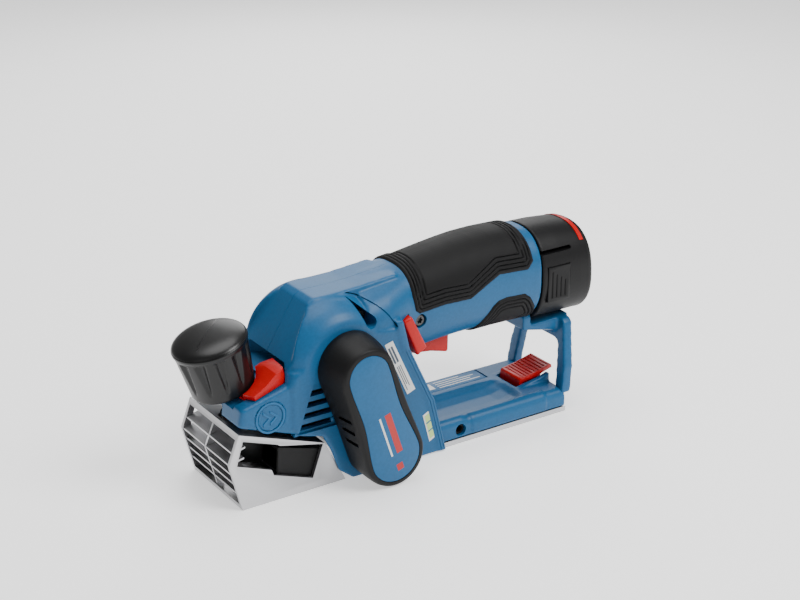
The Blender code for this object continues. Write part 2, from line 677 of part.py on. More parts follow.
def housing_cutters():
    """Everything that opens the finished shell to the outside."""
    tools = []
    tools.append(cutter(block((-131 * MM, -31.5 * MM, -2 * MM), (-49 * MM, 31.5 * MM, 45 * MM))))
    seat = mm((-74, -2), (-20, -2), (-20, 16.4), (-41.3, 16.4), (-55.7, 45), (-74, 45))
    tools.append(cutter(prism_y(seat, -31.5 * MM, 31.5 * MM)))
    front = mm((-175, 40), (-120, 26), (-120, 50), (-172.4, 60))
    tools.append(cutter(prism_y(front, -28.5 * MM, 28.5 * MM)))
    tools.append(along_y(cutter(turned([(6 * MM, -40 * MM), (6 * MM, -29 * MM)])), MOTOR_X, MOTOR_Z))
    tools.append(along_y(cutter(turned([(9.4 * MM, -40 * MM), (9.4 * MM, -29 * MM)])), DRUM_X, DRUM_Z))
    tools.append(on_knob_axis(cutter(turned([(6.8 * MM, -20 * MM), (6.8 * MM, 2 * MM)]))))
    tools.append(on_knob_axis(cutter(turned([(38 * MM, 0.1 * MM), (38 * MM, 8.8 * MM)], FINE_SIDES))))
    tools.append(on_knob_axis(cutter(turned([(22.2 * MM, -2.3 * MM), (22.2 * MM, 2 * MM)], FINE_SIDES))))
    for index in range(4):
        z = 36.4 + 7.2 * index
        left = -113.4 - (66 - z) * 0.72
        for side in (-1, 1):
            low, high = sorted((side * 30 * MM, side * 36 * MM))
            tools.append(cutter(block((left * MM, low, z * MM), (-113.4 * MM, high, (z + 3.6) * MM))))
    tools.append(cutter(block((-180 * MM, -14 * MM, 44 * MM), (-162 * MM, 14 * MM, 72 * MM))))
    tools.append(cutter(block((-48 * MM, -9 * MM, 56 * MM), (-10.5 * MM, 9 * MM, 72 * MM))))
    pin_reach = 12.4 * MM
    tools.append(along_y(cutter(turned([(2 * MM, -pin_reach), (2 * MM, pin_reach)], SMALL_SIDES)),
                         TRIGGER_PIVOT.x, TRIGGER_PIVOT.z))
    tools.append(lock_off_solid(0.35 * MM, 3.6 * MM))
    for x, z, depth in housing_screw_places():
        tools.append(along_y(cutter(turned([(4.4 * MM, -40 * MM), (4.4 * MM, depth)], 16)), x, z))
        tools.append(along_y(cutter(turned([(2 * MM, -40 * MM), (2 * MM, 19 * MM)], SMALL_SIDES)), x, z))
    return tools


def screw_posts():
    """Posts inside the shell that the housing screws run through."""
    posts = []
    for x, z, depth in housing_screw_places():
        reach = 22 * MM
        posts.append(along_y(cutter(turned([(5.6 * MM, depth - 3 * MM), (5.6 * MM, reach)], 16)), x, z))
    return posts


def knob_seat():
    """Thick pad under the deck that the knob and the lever's flange turn in."""
    pad = on_knob_axis(cutter(turned([(25 * MM, -5 * MM), (25 * MM, -0.3 * MM)], FINE_SIDES)))
    return combine(pad, "INTERSECT", deck_block(0.4 * MM))


def housing():
    """Left and right half shells of the motor housing, handle and rear arch."""
    shell = motor_block(0)
    combine(shell, "UNION", deck_block(0), handle(0), bracket())
    room = motor_block(WALL)
    combine(room, "UNION", deck_block(WALL), handle(WALL, 6 * MM))
    combine(shell, "DIFFERENCE", room)
    combine(shell, "UNION", knob_seat(), *screw_posts())
    combine(shell, "DIFFERENCE", *housing_cutters())
    split = 0.15 * MM
    far = 60 * MM
    for name, low, high in (("housing_left", -far, -split), ("housing_right", split, far)):
        half = shell.copy()
        half.data = shell.data.copy()
        half.name = name
        bpy.context.collection.objects.link(half)
        combine(half, "INTERSECT", cutter(block((-0.2, low, -0.01), (0.12, high, 0.14))))
        half.data.materials.clear()
        half.data.materials.append(part_finish["blue"])
    bpy.data.objects.remove(shell)


def housing_screw_places():
    """X, Z and the depth in Y of each screw head."""
    return ((-44.5 * MM, 86.5 * MM, -20 * MM), (-84 * MM, 104 * MM, -21 * MM))


def housing_screws():
    for number, (x, z, depth) in enumerate(housing_screw_places(), 1):
        profile = [(4 * MM, depth - 3 * MM), (4 * MM, depth - 0.3 * MM), (1.6 * MM, depth - 0.3 * MM),
                   (1.6 * MM, 18 * MM)]
        part = add_object("housing_screw_%d" % number, turned(profile, 16), part_finish["steel"])
        along_y(shade_round(part), x, z)


# ---------------------------------------------------------------- controls

def trigger():
    outline = mm((-46.5, 66.5), (-46.5, 61.5), (-38, 57.6), (-27, 56), (-14, 53), (-12.6, 54.4), (-12.4, 65.2),
                 (-20, 66), (-40, 68))
    part = add_object("trigger", prism_y(outline, -8 * MM, 8 * MM), part_finish["red"])
    hole = along_y(cutter(turned([(1.9 * MM, -10 * MM), (1.9 * MM, 10 * MM)], SMALL_SIDES)),
                   TRIGGER_PIVOT.x, TRIGGER_PIVOT.z)
    hollow = cutter(block((-34 * MM, -5.6 * MM, 60 * MM), (-16 * MM, 5.6 * MM, 70 * MM)))
    return combine(part, "DIFFERENCE", hole, hollow)


def trigger_pin():
    part = add_object("trigger_pin", turned([(1.6 * MM, -12 * MM), (1.6 * MM, 12 * MM)], SMALL_SIDES),
                      part_finish["steel"])
    return along_y(shade_round(part), TRIGGER_PIVOT.x, TRIGGER_PIVOT.z)


def trigger_spring():
    part = coil_spring("trigger_spring", 3 * MM, 0.5 * MM, 12.4 * MM, 4, part_finish["steel"])
    part.location = (-25 * MM, 0, 60.8 * MM)
    return part


def switch_module():
    return add_object("switch_module", block((-38.4 * MM, -9 * MM, 74.4 * MM), (-23 * MM, 9 * MM, 94 * MM)),
                      part_finish["black"])


def control_board():
    return add_object("control_board", block((-72 * MM, -14 * MM, 58 * MM), (-70.4 * MM, 14 * MM, 98 * MM)),
                      part_finish["black"])


def lock_off_solid(grow=0.0, back=0.0):
    """Leaning bar on the handle's near root; grow widens it and back lengthens both its ends."""
    outline = mm((-61, 91.6), (-51, 67.6), (-44.2, 72), (-55.2, 94.2))
    outline = inset_outline(outline, -grow)
    return cutter(prism_y(outline, -29 * MM - back, -16 * MM + back))


def lock_off_button():
    part = lock_off_solid()
    part.name = "lock_off_button"
    part.data.materials.clear()
    part.data.materials.append(part_finish["red"])
    return part


def lock_off_spring():
    part = coil_spring("lock_off_spring", 2.4 * MM, 0.45 * MM, 9 * MM, 4, part_finish["steel"])
    return along_y(part, -52.8 * MM, 81 * MM, -15 * MM)


def charge_indicator():
    outline = mm((-44, 29), (-39.2, 10.4), (-37, 11.6), (-41.8, 30))
    outline = [(x - 3 * MM, z) for x, z in outline]
    return add_object("charge_indicator", prism_y(outline, -35.1 * MM, -34.3 * MM), part_finish["white"])


def motor_label():
    outline = mm((-76.2, 81.6), (-60.2, 45.8), (-54.4, 48), (-70.6, 83.2))
    return add_object("motor_label", prism_y(outline, -35 * MM, -34.3 * MM), part_finish["white"])


# ---------------------------------------------------------------- grips

def grip_top():
    """Soft saddle over the top of the handle."""
    part = handle_band(1.4 * MM, 0.3 * MM)
    side = mm((-57, 140), (-57, 112), (-45, 92), (-27, 91.5), (-6, 91), (6, 99), (20, 104), (40, 103), (43, 108),
              (40, 140))
    return grip_from(part, "grip_top", side)


def grip_lower():
    """Soft pad under the rear of the handle."""
    part = handle_band(1.4 * MM, 0.3 * MM)
    side = mm((0, 50), (3, 74), (12, 84), (24, 86.5), (38, 85.5), (45, 78), (45, 50))
    combine(part, "DIFFERENCE", cutter(block((39.6 * MM, -14.6 * MM, 50 * MM), (50 * MM, 14.6 * MM, 67 * MM))))
    return grip_from(part, "grip_lower", side)


def handle_band(thick, gap):
    """Sleeve that follows the handle's surface at a gap."""
    outer = handle(-thick - gap)
    return combine(outer, "DIFFERENCE", handle(-gap, 8 * MM))


def grip_from(part, name, side):
    combine(part, "INTERSECT", cutter(prism_y(side, -60 * MM, 60 * MM)))
    part.name = name
    part.data.materials.clear()
    part.data.materials.append(part_finish["rubber"])
    return part


# ---------------------------------------------------------------- battery

def battery_case():
    """Battery pack: rounded cap behind the handle and the cell sleeve that plugs into it."""
    front = HANDLE_END + 0.5 * MM
    sections = ((front, 92.4, 26.4, 31.0), (60 * MM, 92.2, 26.6, 31.0), (80 * MM, 91.2, 26.6, 30.4),
                (86 * MM, 90.6, 25.4, 29.2), (BATTERY_REAR, 90.4, 23, 26.6))
    rings = [superellipse(x, z * MM, half_y * MM, half_z * MM) for x, z, half_y, half_z in sections]
    part = add_object("battery_case", skin(rings), part_finish["black"])
    under = mm((40, 61.6), (62, 62.0), (84, 63.4), (84, 50), (40, 50))
    combine(part, "DIFFERENCE", cutter(prism_y(under, -40 * MM, 40 * MM)))
    sleeve = cutter(turned([(SLEEVE_RADIUS, -64 * MM), (SLEEVE_RADIUS, 6 * MM)]))
    sleeve.rotation_euler = (0, math.pi / 2, 0)
    sleeve.location = (HANDLE_END, 0, SLEEVE_CENTRE_Z)
    combine(part, "UNION", sleeve)
    inside = cutter(turned([(19.9 * MM, -70 * MM), (19.9 * MM, 8 * MM)]))
    inside.rotation_euler = (0, math.pi / 2, 0)
    inside.location = (HANDLE_END, 0, SLEEVE_CENTRE_Z)
    combine(part, "DIFFERENCE", inside)
    for side in (-1, 1):
        low, high = sorted((side * 22.6 * MM, side * 30 * MM))
        combine(part, "DIFFERENCE", cutter(block((50 * MM, low, 77 * MM), (68 * MM, high, 101 * MM))))
    return shade_round(part)


def battery_cells():
    spread = CELL_RADIUS + 0.25 * MM
    for number in range(3):
        angle = math.radians(90 + 120 * number)
        offset = spread / math.cos(math.radians(30))
        part = add_object("battery_cell_%d" % (number + 1),
                          turned([(CELL_RADIUS, 0), (CELL_RADIUS, CELL_LENGTH)], 20), part_finish["steel"])
        part.rotation_euler = (0, math.pi / 2, 0)
        part.location = (HANDLE_END - 58 * MM, offset * math.cos(angle), SLEEVE_CENTRE_Z + offset * math.sin(angle))
        shade_round(part)


def battery_latches():
    for name, side in (("battery_latch_left", -1), ("battery_latch_right", 1)):
        low, high = sorted((side * 24.6 * MM, side * 27.4 * MM))
        add_object(name, block((50.4 * MM, low, 77.4 * MM), (67.6 * MM, high, 100.6 * MM)), part_finish["black"])


def battery_terminal_block():
    """Contact carrier in the handle, ahead of the pack."""
    part = add_object("battery_terminal_block", turned([(12 * MM, 0), (12 * MM, 3 * MM)], 16), part_finish["black"])
    part.rotation_euler = (0, math.pi / 2, 0)
    part.location = (-22.4 * MM, 0, SLEEVE_CENTRE_Z)
    return part


# ---------------------------------------------------------------- parking foot

def park_lever():
    """Red rocker: a ribbed thumb plate above the tray and a foot that swings out of the sole."""
    side = mm((38, 0.6), (47, 0.6), (57.6, 5), (57.6, 12.2), (60.6, 14), (69, 23.8), (66.2, 24.6), (43.6, 20.2),
              (43.4, 17.6), (50, 12), (38, 5))
    part = add_object("park_lever", prism_y(side, -6.4 * MM, 6.4 * MM), part_finish["red"])
    plate = mm((43.4, 17.4), (68.8, 22.2), (68.4, 24.8), (43, 20))
    combine(part, "UNION", cutter(prism_y(plate, -10.4 * MM, 10.4 * MM)))
    hole = along_y(cutter(turned([(1.9 * MM, -12 * MM), (1.9 * MM, 12 * MM)], SMALL_SIDES)),
                   PARK_PIVOT.x, PARK_PIVOT.z)
    return combine(part, "DIFFERENCE", hole)


def park_pin():
    part = add_object("park_pin", turned([(1.5 * MM, -15 * MM), (1.5 * MM, 15 * MM)], SMALL_SIDES),
                      part_finish["steel"])
    return along_y(shade_round(part), PARK_PIVOT.x, PARK_PIVOT.z)


def park_spring():
    """Torsion coil on the park pin, beside the rocker."""
    part = coil_spring("park_spring", 2.6 * MM, 0.5 * MM, 3.6 * MM, 3, part_finish["steel"])
    return along_y(part, PARK_PIVOT.x, PARK_PIVOT.z, 7.2 * MM)


# ---------------------------------------------------------------- build

def clear_scene():
    for item in list(bpy.data.objects):
        bpy.data.objects.remove(item)


clear_scene()
part_finish = {
    "blue": blue_plastic(),
    "black": black_plastic(),
    "rubber": rubber(),
    "red": red_plastic(),
    "aluminium": cast_aluminium(),
    "steel": steel(),
    "copper": copper(),
    "white": label_white(),
}
base_body()
rear_sole()
sole_screws()
guide_insert()
rating_label()
front_shoe()
depth_knob()
depth_spindle()
depth_scale_ring()
spindle_spring()
deflector_lever()
chip_vane()
chip_duct()
cutter_drum()
planer_blade()
blade_clamp()
blade_screws()
drum_bearings()
pulleys()
drive_belt()
motor()
motor_fan()
belt_cover()
belt_cover_inlay()
housing()
housing_screws()
trigger()
trigger_pin()
trigger_spring()
switch_module()
control_board()
lock_off_button()
lock_off_spring()
charge_indicator()
motor_label()
grip_top()
grip_lower()
battery_case()
battery_cells()
battery_latches()
battery_terminal_block()
park_lever()
park_pin()
park_spring()
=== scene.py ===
"""Looks of the cordless hand planer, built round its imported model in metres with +Z up."""

import json
import math

import bmesh
import bpy
from bpy.props import FloatProperty, FloatVectorProperty, IntProperty, PointerProperty
from bpy.types import Operator, Panel, PropertyGroup
from mathutils.bvhtree import BVHTree
from mathutils import Matrix, Vector


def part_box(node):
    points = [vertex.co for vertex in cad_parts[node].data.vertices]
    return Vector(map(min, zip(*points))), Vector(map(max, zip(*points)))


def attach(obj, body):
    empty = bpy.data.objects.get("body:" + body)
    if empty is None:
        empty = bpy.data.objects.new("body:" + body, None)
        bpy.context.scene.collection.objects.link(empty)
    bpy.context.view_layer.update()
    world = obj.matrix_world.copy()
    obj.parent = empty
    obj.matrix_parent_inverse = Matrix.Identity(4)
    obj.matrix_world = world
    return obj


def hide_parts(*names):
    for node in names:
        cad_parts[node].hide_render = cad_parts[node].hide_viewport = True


bl_info = {
    "name": "Hand Planer",
    "version": (1, 0, 0),
    "blender": (4, 5, 0),
    "location": "3D View > Sidebar > Hand Planer",
    "description": "Builds the finished surfaces and finishes of a cordless hand planer",
    "category": "Object",
}

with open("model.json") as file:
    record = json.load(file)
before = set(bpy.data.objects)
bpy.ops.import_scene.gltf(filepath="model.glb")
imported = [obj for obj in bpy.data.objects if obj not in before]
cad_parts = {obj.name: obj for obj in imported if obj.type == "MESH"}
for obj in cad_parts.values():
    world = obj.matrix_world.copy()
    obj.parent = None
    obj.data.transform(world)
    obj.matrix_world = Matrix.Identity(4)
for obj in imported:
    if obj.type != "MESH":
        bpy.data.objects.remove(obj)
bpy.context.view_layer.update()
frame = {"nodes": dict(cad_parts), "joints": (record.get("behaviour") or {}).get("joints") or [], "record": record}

MM = 0.001


def joint(name):
    """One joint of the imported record."""
    return next(item for item in frame["joints"] if item["name"] == name)


KNOB_FOOT = Vector(joint("depth_knob_turn")["pos_m"])
KNOB_AXIS = Vector(joint("depth_knob_turn")["axis"]).normalized()
DRUM_CENTRE = Vector(joint("drum_spin")["pos_m"])
MOTOR_CENTRE = Vector(joint("motor_spin")["pos_m"])
PARK_PIVOT = Vector(joint("park_foot_swing")["pos_m"])
SOLE_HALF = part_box("rear_sole")[1].y
COVER_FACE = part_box("belt_cover")[0].y
COVER_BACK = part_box("belt_cover")[1].y
BATTERY_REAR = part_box("battery_case")[1].x
BATTERY_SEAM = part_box("battery_latch_left")[0].x - 3.9 * MM
SIDE = -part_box("housing_left")[0].y
SPLIT = 0.12 * MM


# ---------------------------------------------------------------- what a user would change

def length(name, text, value):
    return FloatProperty(name=name, description=text, default=value, min=0.0, subtype="DISTANCE", unit="LENGTH")


def colour(name, text, value):
    return FloatVectorProperty(name=name, description=text, default=value, size=3, min=0.0, max=1.0,
                               subtype="COLOR")


class PlanerSizes(PropertyGroup):
    """Sizes of the fine shapes."""
    cast_step: length("Moulding step", "Cell size of the moulded shells", 0.8 * MM)
    cast_rounds: IntProperty(name="Moulding rounds", description="Smoothing rounds on moulded shells", default=7,
                             min=0)
    flutes: IntProperty(name="Knob flutes", description="Grooves round the knob", default=12, min=3)
    flute_depth: length("Flute depth", "Depth of the knob's grooves", 1.8 * MM)
    grip_rise: length("Grip rise", "How far the soft grips stand out of the handle", 1.3 * MM)
    grip_groove: length("Grip groove", "Depth of the contour grooves in the soft grips", 1.0 * MM)
    edge: length("Edge", "Radius on the metal and small plastic edges", 0.4 * MM)


class PlanerColours(PropertyGroup):
    """Colours of the finishes."""
    blue: colour("Blue", "Moulded housing", (0.004, 0.082, 0.200))
    black: colour("Black", "Hard black plastic", (0.0048, 0.0048, 0.0051))
    knob: colour("Knob black", "Satin black of the knob", (0.0042, 0.0042, 0.0045))
    rubber: colour("Rubber", "Soft grips", (0.0045, 0.0045, 0.0048))
    red: colour("Red", "Controls", (0.42, 0.0022, 0.002))
    aluminium: colour("Aluminium", "Sole and shoe", (0.44, 0.44, 0.45))
    steel: colour("Steel", "Screws, pins and bearings", (0.50, 0.50, 0.51))
    copper: colour("Copper", "Motor winding", (0.60, 0.27, 0.12))
    brass: colour("Brass", "Threaded bush", (0.62, 0.42, 0.18))
    film: colour("Label film", "Printed labels", (0.68, 0.68, 0.66))
    charge: colour("Charge cells", "Lit cells of the charge indicator", (0.45, 0.62, 0.22))
    floor: colour("Floor", "Plain floor", (0.86, 0.86, 0.86))


def sizes():
    return bpy.context.scene.planer_sizes


def colours():
    return bpy.context.scene.planer_colours


# ---------------------------------------------------------------- shader maths

class Value:
    """A number socket, on which arithmetic adds Math nodes."""

    def __init__(self, finish, socket):
        self.finish = finish
        self.socket = socket

    def maths(self, operation, *values, clamp=False):
        node = self.finish.node("ShaderNodeMath", {"operation": operation, "use_clamp": clamp},
                                dict(enumerate(values)))
        return Value(self.finish, node.outputs[0])

    def __add__(self, other):
        return self.maths("ADD", self, other)

    def __mul__(self, other):
        return self.maths("MULTIPLY", self, other)

    def __sub__(self, other):
        return self.maths("SUBTRACT", self, other)

    def __rsub__(self, other):
        return self.maths("SUBTRACT", other, self)

    __radd__ = __add__
    __rmul__ = __mul__

    def clamp(self):
        return self.maths("ADD", self, 0.0, clamp=True)


class Finish:
    """A Principled material, with the nodes that vary it."""

    def __init__(self, name, roughness, metallic=0.0, constants=None):
        self.material = bpy.data.materials.new(name)
        self.material.use_nodes = True
        self.tree = self.material.node_tree
        self.shader = self.tree.nodes["Principled BSDF"]
        self.shader.inputs["Roughness"].default_value = roughness
        self.shader.inputs["Metallic"].default_value = metallic
        for socket, value in (constants or {}).items():
            self.shader.inputs[socket].default_value = value
        self.place = self.node("ShaderNodeTexCoord").outputs["Object"]

    def node(self, kind, settings=None, sockets=None):
        """A node of a type, with its settings and then the values or links of its sockets."""
        node = self.tree.nodes.new(kind)
        for key, value in (settings or {}).items():
            if key == "stops":
                self.set_stops(node.color_ramp, value)
            else:
                setattr(node, key, value)
        for key, value in (sockets or {}).items():
            self.feed(node.inputs[key], value)
        return node

    def feed(self, socket, value):
        if isinstance(value, Value):
            value = value.socket
        if isinstance(value, bpy.types.NodeSocket):
            self.tree.links.new(value, socket)
        else:
            socket.default_value = value

    def set_stops(self, ramp, stops):
        while len(ramp.elements) < len(stops):
            ramp.elements.new(1.0)
        for element, (position, level) in zip(ramp.elements, stops):
            element.position = position
            element.color = (level, level, level, 1)

    def noise(self, scale, detail=2.0, roughness=0.5, stretch=None):
        place = self.place
        if stretch:
            place = self.node("ShaderNodeMapping", None, {"Vector": place, "Scale": stretch}).outputs[0]
        node = self.node("ShaderNodeTexNoise", None,
                         {"Vector": place, "Scale": scale, "Detail": detail, "Roughness": roughness})
        return Value(self, node.outputs["Fac"])

    def ramp(self, value, *stops):
        node = self.node("ShaderNodeValToRGB", {"stops": stops}, {"Fac": value})
        return Value(self, node.outputs["Color"])

    def edge_mask(self, low=0.515, high=0.58):
        """1 on outer edges, 0 on flat faces."""
        node = self.node("ShaderNodeNewGeometry")
        return self.ramp(Value(self, node.outputs["Pointiness"]), (low, 0.0), (high, 1.0))

    def blend(self, factor, first, second):
        """Colour between two colours."""
        node = self.node("ShaderNodeMix", {"data_type": "RGBA"}, {0: factor, 6: first, 7: second})
        return node.outputs[2]

    def bump(self, height, strength, distance):
        node = self.node("ShaderNodeBump", None, {"Strength": strength, "Distance": distance, "Height": height})
        self.feed(self.shader.inputs["Normal"], node.outputs[0])

    def set(self, socket, value):
        self.feed(self.shader.inputs[socket], value)


def shade(tone, factor):
    """Colour with its brightness scaled, with alpha."""
    return tuple(min(1.0, channel * factor) for channel in tone) + (1.0,)


# ---------------------------------------------------------------- finishes

def moulded_plastic(name, tone, roughness, grain_scale, grain_depth, edge_highlight_gain, shine=0.45):
    """Textured injection moulding: fine grain, faint mottling, edges a little glossier, and edges painted lighter as a
    painted highlight.
    """
    finish = Finish(name, roughness, constants={"Specular IOR Level": shine})
    mottle = finish.noise(38.0, 4.0, 0.6)
    grain = finish.noise(grain_scale, 2.0, 0.65)
    speckle = finish.ramp(finish.noise(grain_scale * 0.55, 1.0), (0.35, 0.0), (0.65, 1.0))
    body = finish.blend(mottle, shade(tone, 0.88), shade(tone, 1.12))
    body = finish.blend(speckle * 0.3, body, shade(tone, 1.35))
    # Painted highlight: the base colour is lightened along the outer edges, where light catches them.
    edge = finish.edge_mask() * (0.35 + 0.65 * finish.noise(160.0, 3.0))
    finish.set("Base Color", finish.blend((edge * edge_highlight_gain).clamp(), body, shade(tone, 1.9)))
    finish.set("Roughness", (roughness - 0.05 + 0.12 * mottle - 0.1 * edge).clamp())
    finish.bump(grain, 0.35, grain_depth)
    return finish.material


def blue_plastic():
    return moulded_plastic("blue_plastic", colours().blue, 0.42, 1150.0, 0.09 * MM, 0.35, 0.32)


def black_plastic():
    return moulded_plastic("black_plastic", colours().black, 0.48, 950.0, 0.15 * MM, 0.5, 0.2)


def knob_plastic():
    return moulded_plastic("knob_plastic", colours().knob, 0.30, 1600.0, 0.03 * MM, 0.5, 0.35)


def red_plastic():
    return moulded_plastic("red_plastic", colours().red, 0.33, 1600.0, 0.03 * MM, 0.12, 0.25)


def rubber():
    """Matt elastomer with a fine pebble, dusty mottling and a painted highlight along its edges and groove rims."""
    tone = colours().rubber
    finish = Finish("rubber", 0.62, constants={"Specular IOR Level": 0.18})
    dust = finish.noise(70.0, 5.0, 0.62)
    pebble = finish.noise(1900.0, 2.0, 0.6)
    edge = finish.edge_mask()
    body = finish.blend(dust, shade(tone, 0.85), shade(tone, 1.35))
    # Painted highlight: edges and groove rims are painted much lighter than the rubber.
    finish.set("Base Color", finish.blend((edge * 0.55).clamp(), body, shade(tone, 3.2)))
    finish.set("Roughness", (0.54 + 0.16 * dust).clamp())
    finish.bump(pebble, 0.4, 0.07 * MM)
    return finish.material


def machined_aluminium():
    """Satin cast metal, milled along X, with a painted highlight brightening its edges."""
    tone = colours().aluminium
    finish = Finish("machined_aluminium", 0.3, 0.95)
    lines = finish.noise(60.0, 4.0, 0.7, stretch=(4.0, 40.0, 60.0))
    cloud = finish.noise(45.0, 4.0, 0.6)
    edge = finish.edge_mask()
    body = finish.blend(cloud, shade(tone, 0.86), shade(tone, 1.08))
    body = finish.blend(lines * 0.3, body, shade(tone, 0.8))
    # Painted highlight: the base colour is brightened along the edges.
    finish.set("Base Color", finish.blend((edge * 0.6).clamp(), body, shade(tone, 1.35)))
    finish.set("Roughness", (0.22 + 0.16 * cloud + 0.1 * lines).clamp())
    finish.bump(lines, 0.25, 0.04 * MM)
    return finish.material


def metal(name, tone, roughness, scale):
    """Plain turned or drawn metal with a light smear."""
    finish = Finish(name, roughness, 1.0)
    smear = finish.noise(scale, 4.0, 0.65)
    fine = finish.noise(900.0, 2.0)
    finish.set("Base Color", finish.blend(smear, shade(tone, 0.8), shade(tone, 1.15)))
    finish.set("Roughness", (roughness - 0.08 + 0.18 * smear).clamp())
    finish.bump(fine, 0.2, 0.02 * MM)
    return finish.material


def steel():
    return metal("steel", colours().steel, 0.3, 120.0)


def dark_steel():
    return metal("dark_steel", tuple(0.16 * channel for channel in colours().steel), 0.38, 150.0)


def brass():
    return metal("brass", colours().brass, 0.34, 140.0)


def winding():
    """Copper winding between steel laminations."""
    finish = Finish("winding", 0.35, 1.0)
    wires = finish.node("ShaderNodeTexWave", {"bands_direction": "Y"},
                        {"Vector": finish.place, "Scale": 260.0, "Distortion": 0.4})
    wire = Value(finish, wires.outputs["Fac"])
    finish.set("Base Color", finish.blend(wire, shade(colours().copper, 0.4), shade(colours().copper, 1.1)))
    finish.set("Roughness", (0.5 - 0.2 * wire).clamp())
    finish.bump(wire, 0.5, 0.2 * MM)
    return finish.material


def printed_film(name, tone):
    """Thin printed film with a faint gloss change."""
    finish = Finish(name, 0.35)
    cloud = finish.noise(90.0, 3.0)
    finish.set("Base Color", finish.blend(cloud, shade(tone, 0.94), shade(tone, 1.04)))
    finish.set("Roughness", (0.28 + 0.14 * cloud).clamp())
    finish.bump(finish.noise(700.0, 2.0), 0.1, 0.03 * MM)
    return finish.material


FINISHES = {}


def finish_named(name):
    return FINISHES[name]


# ---------------------------------------------------------------- mesh tools

def mm(*points):
    """Points given in millimetres, as metres."""
    return [tuple(value * MM for value in point) for point in points]


def arc(centre_x, centre_z, radius, start, end, steps):
    """Points in millimetres on an arc in the XZ plane, its angles in degrees from +X towards +Z."""
    points = []
    for index in range(steps + 1):
        angle = math.radians(start + (end - start) * index / steps)
        points.append((centre_x + radius * math.cos(angle), centre_z + radius * math.sin(angle)))
    return points


def loft(rings):
    """Closed skin: the first ring becomes a face, and its rim is extruded from ring to ring."""
    bm = bmesh.new()
    row = [bm.verts.new(point) for point in rings[0]]
    bm.faces.new(row)
    edges = [bm.edges.get((row[index - 1], row[index])) for index in range(len(row))]
    for ring in rings[1:]:
        made = bmesh.ops.extrude_edge_only(bm, edges=edges)["geom"]
        fresh = {item for item in made if isinstance(item, bmesh.types.BMVert)}
        row = [next(edge.other_vert(vert) for edge in vert.link_edges if edge.other_vert(vert) in fresh)
               for vert in row]
        for vert, point in zip(row, ring):
            vert.co = point
        edges = [bm.edges.get((row[index - 1], row[index])) for index in range(len(row))]
    bm.faces.new(row)
    bmesh.ops.recalc_face_normals(bm, faces=bm.faces)
    return bm


def prism_y(outline, low, high):
    """Outline in the XZ plane in millimetres, run along Y between two places in millimetres."""
    return loft([[Vector((x, y, z)) * MM for x, z in outline] for y in (low, high)])


def prism_x(outline, low, high, lean=0.0):
    """Outline in the YZ plane in millimetres, run along X, leaning in X by lean for each unit of Z."""
    return loft([[Vector((x + lean * z, y, z)) * MM for y, z in outline] for x in (low, high)])


def block(low, high):
    """Box between two corners in millimetres."""
    bm = bmesh.new()
    bmesh.ops.create_cube(bm, size=1.0)
    low, high = Vector(low) * MM, Vector(high) * MM
    bmesh.ops.scale(bm, vec=high - low, verts=bm.verts)
    bmesh.ops.translate(bm, vec=(low + high) / 2, verts=bm.verts)
    return bm


def turned(profile, steps=96):
    """Solid of revolution about local Z, from radius and height pairs in millimetres, closed at its poles."""
    bm = bmesh.new()
    row = [(0.0, profile[0][1])] * (profile[0][0] > 0) + list(profile) + [(0.0, profile[-1][1])] * (profile[-1][0] > 0)
    verts = [bm.verts.new((radius * MM, 0, height * MM)) for radius, height in row]
    edges = [bm.edges.new(pair) for pair in zip(verts, verts[1:])]
    bmesh.ops.spin(bm, geom=verts + edges, cent=(0, 0, 0), axis=(0, 0, 1), dvec=(0, 0, 0), angle=2 * math.pi,
                   steps=steps, use_merge=True)
    bmesh.ops.remove_doubles(bm, verts=bm.verts, dist=0.001 * MM)
    bmesh.ops.recalc_face_normals(bm, faces=bm.faces)
    return bm


def wrapped(around, along, place):
    """Closed tube of fine facets: place(turn, share) gives each point, turn and share running from 0 to 1."""
    bm = bmesh.new()
    bmesh.ops.create_grid(bm, x_segments=around, y_segments=along, size=0.5)
    for vert in bm.verts:
        vert.co = place(vert.co.x + 0.5, vert.co.y + 0.5)
    bmesh.ops.remove_doubles(bm, verts=bm.verts, dist=0.002 * MM)
    bmesh.ops.recalc_face_normals(bm, faces=bm.faces)
    return bm


ALONG_Y = Matrix.Rotation(-math.pi / 2, 4, "X")
ALONG_X = Matrix.Rotation(math.pi / 2, 4, "Y")
KNOB_TILT = math.atan2(-KNOB_AXIS.x, KNOB_AXIS.z)
KNOB_PLACE = Matrix.Translation(KNOB_FOOT) @ Matrix.Rotation(-KNOB_TILT, 4, "Y")


def placed(bm, matrix):
    bmesh.ops.transform(bm, matrix=matrix, verts=bm.verts)
    return bm


def on_axle(bm, x, z, y=0.0):
    """Turns local Z to +Y and moves the shape to an axle at x, z in millimetres."""
    return placed(bm, Matrix.Translation(Vector((x, y, z)) * MM) @ ALONG_Y)


def on_knob(bm):
    return placed(bm, KNOB_PLACE)


def mirrored(bm):
    """The shape and its mirror image across the centre plane."""
    other = bm.copy()
    bmesh.ops.scale(other, vec=(1, -1, 1), verts=other.verts)
    bmesh.ops.recalc_face_normals(other, faces=other.faces)
    return [bm, other]


def raw_object(name, *shapes):
    """Object holding one or more closed shapes."""
    merged = bmesh.new()
    for shape in shapes:
        scratch = bpy.data.meshes.new("scratch")
        shape.to_mesh(scratch)
        merged.from_mesh(scratch)
        shape.free()
        bpy.data.meshes.remove(scratch)
    mesh = bpy.data.meshes.new(name)
    merged.to_mesh(mesh)
    merged.free()
    part = bpy.data.objects.new(name, mesh)
    bpy.context.collection.objects.link(part)
    return part


def settle(part):
    """Applies a piece's modifiers."""
    bpy.context.view_layer.update()
    depsgraph = bpy.context.evaluated_depsgraph_get()
    old = part.data
    part.data = bpy.data.meshes.new_from_object(part.evaluated_get(depsgraph))
    part.modifiers.clear()
    bpy.data.meshes.remove(old)
    return part


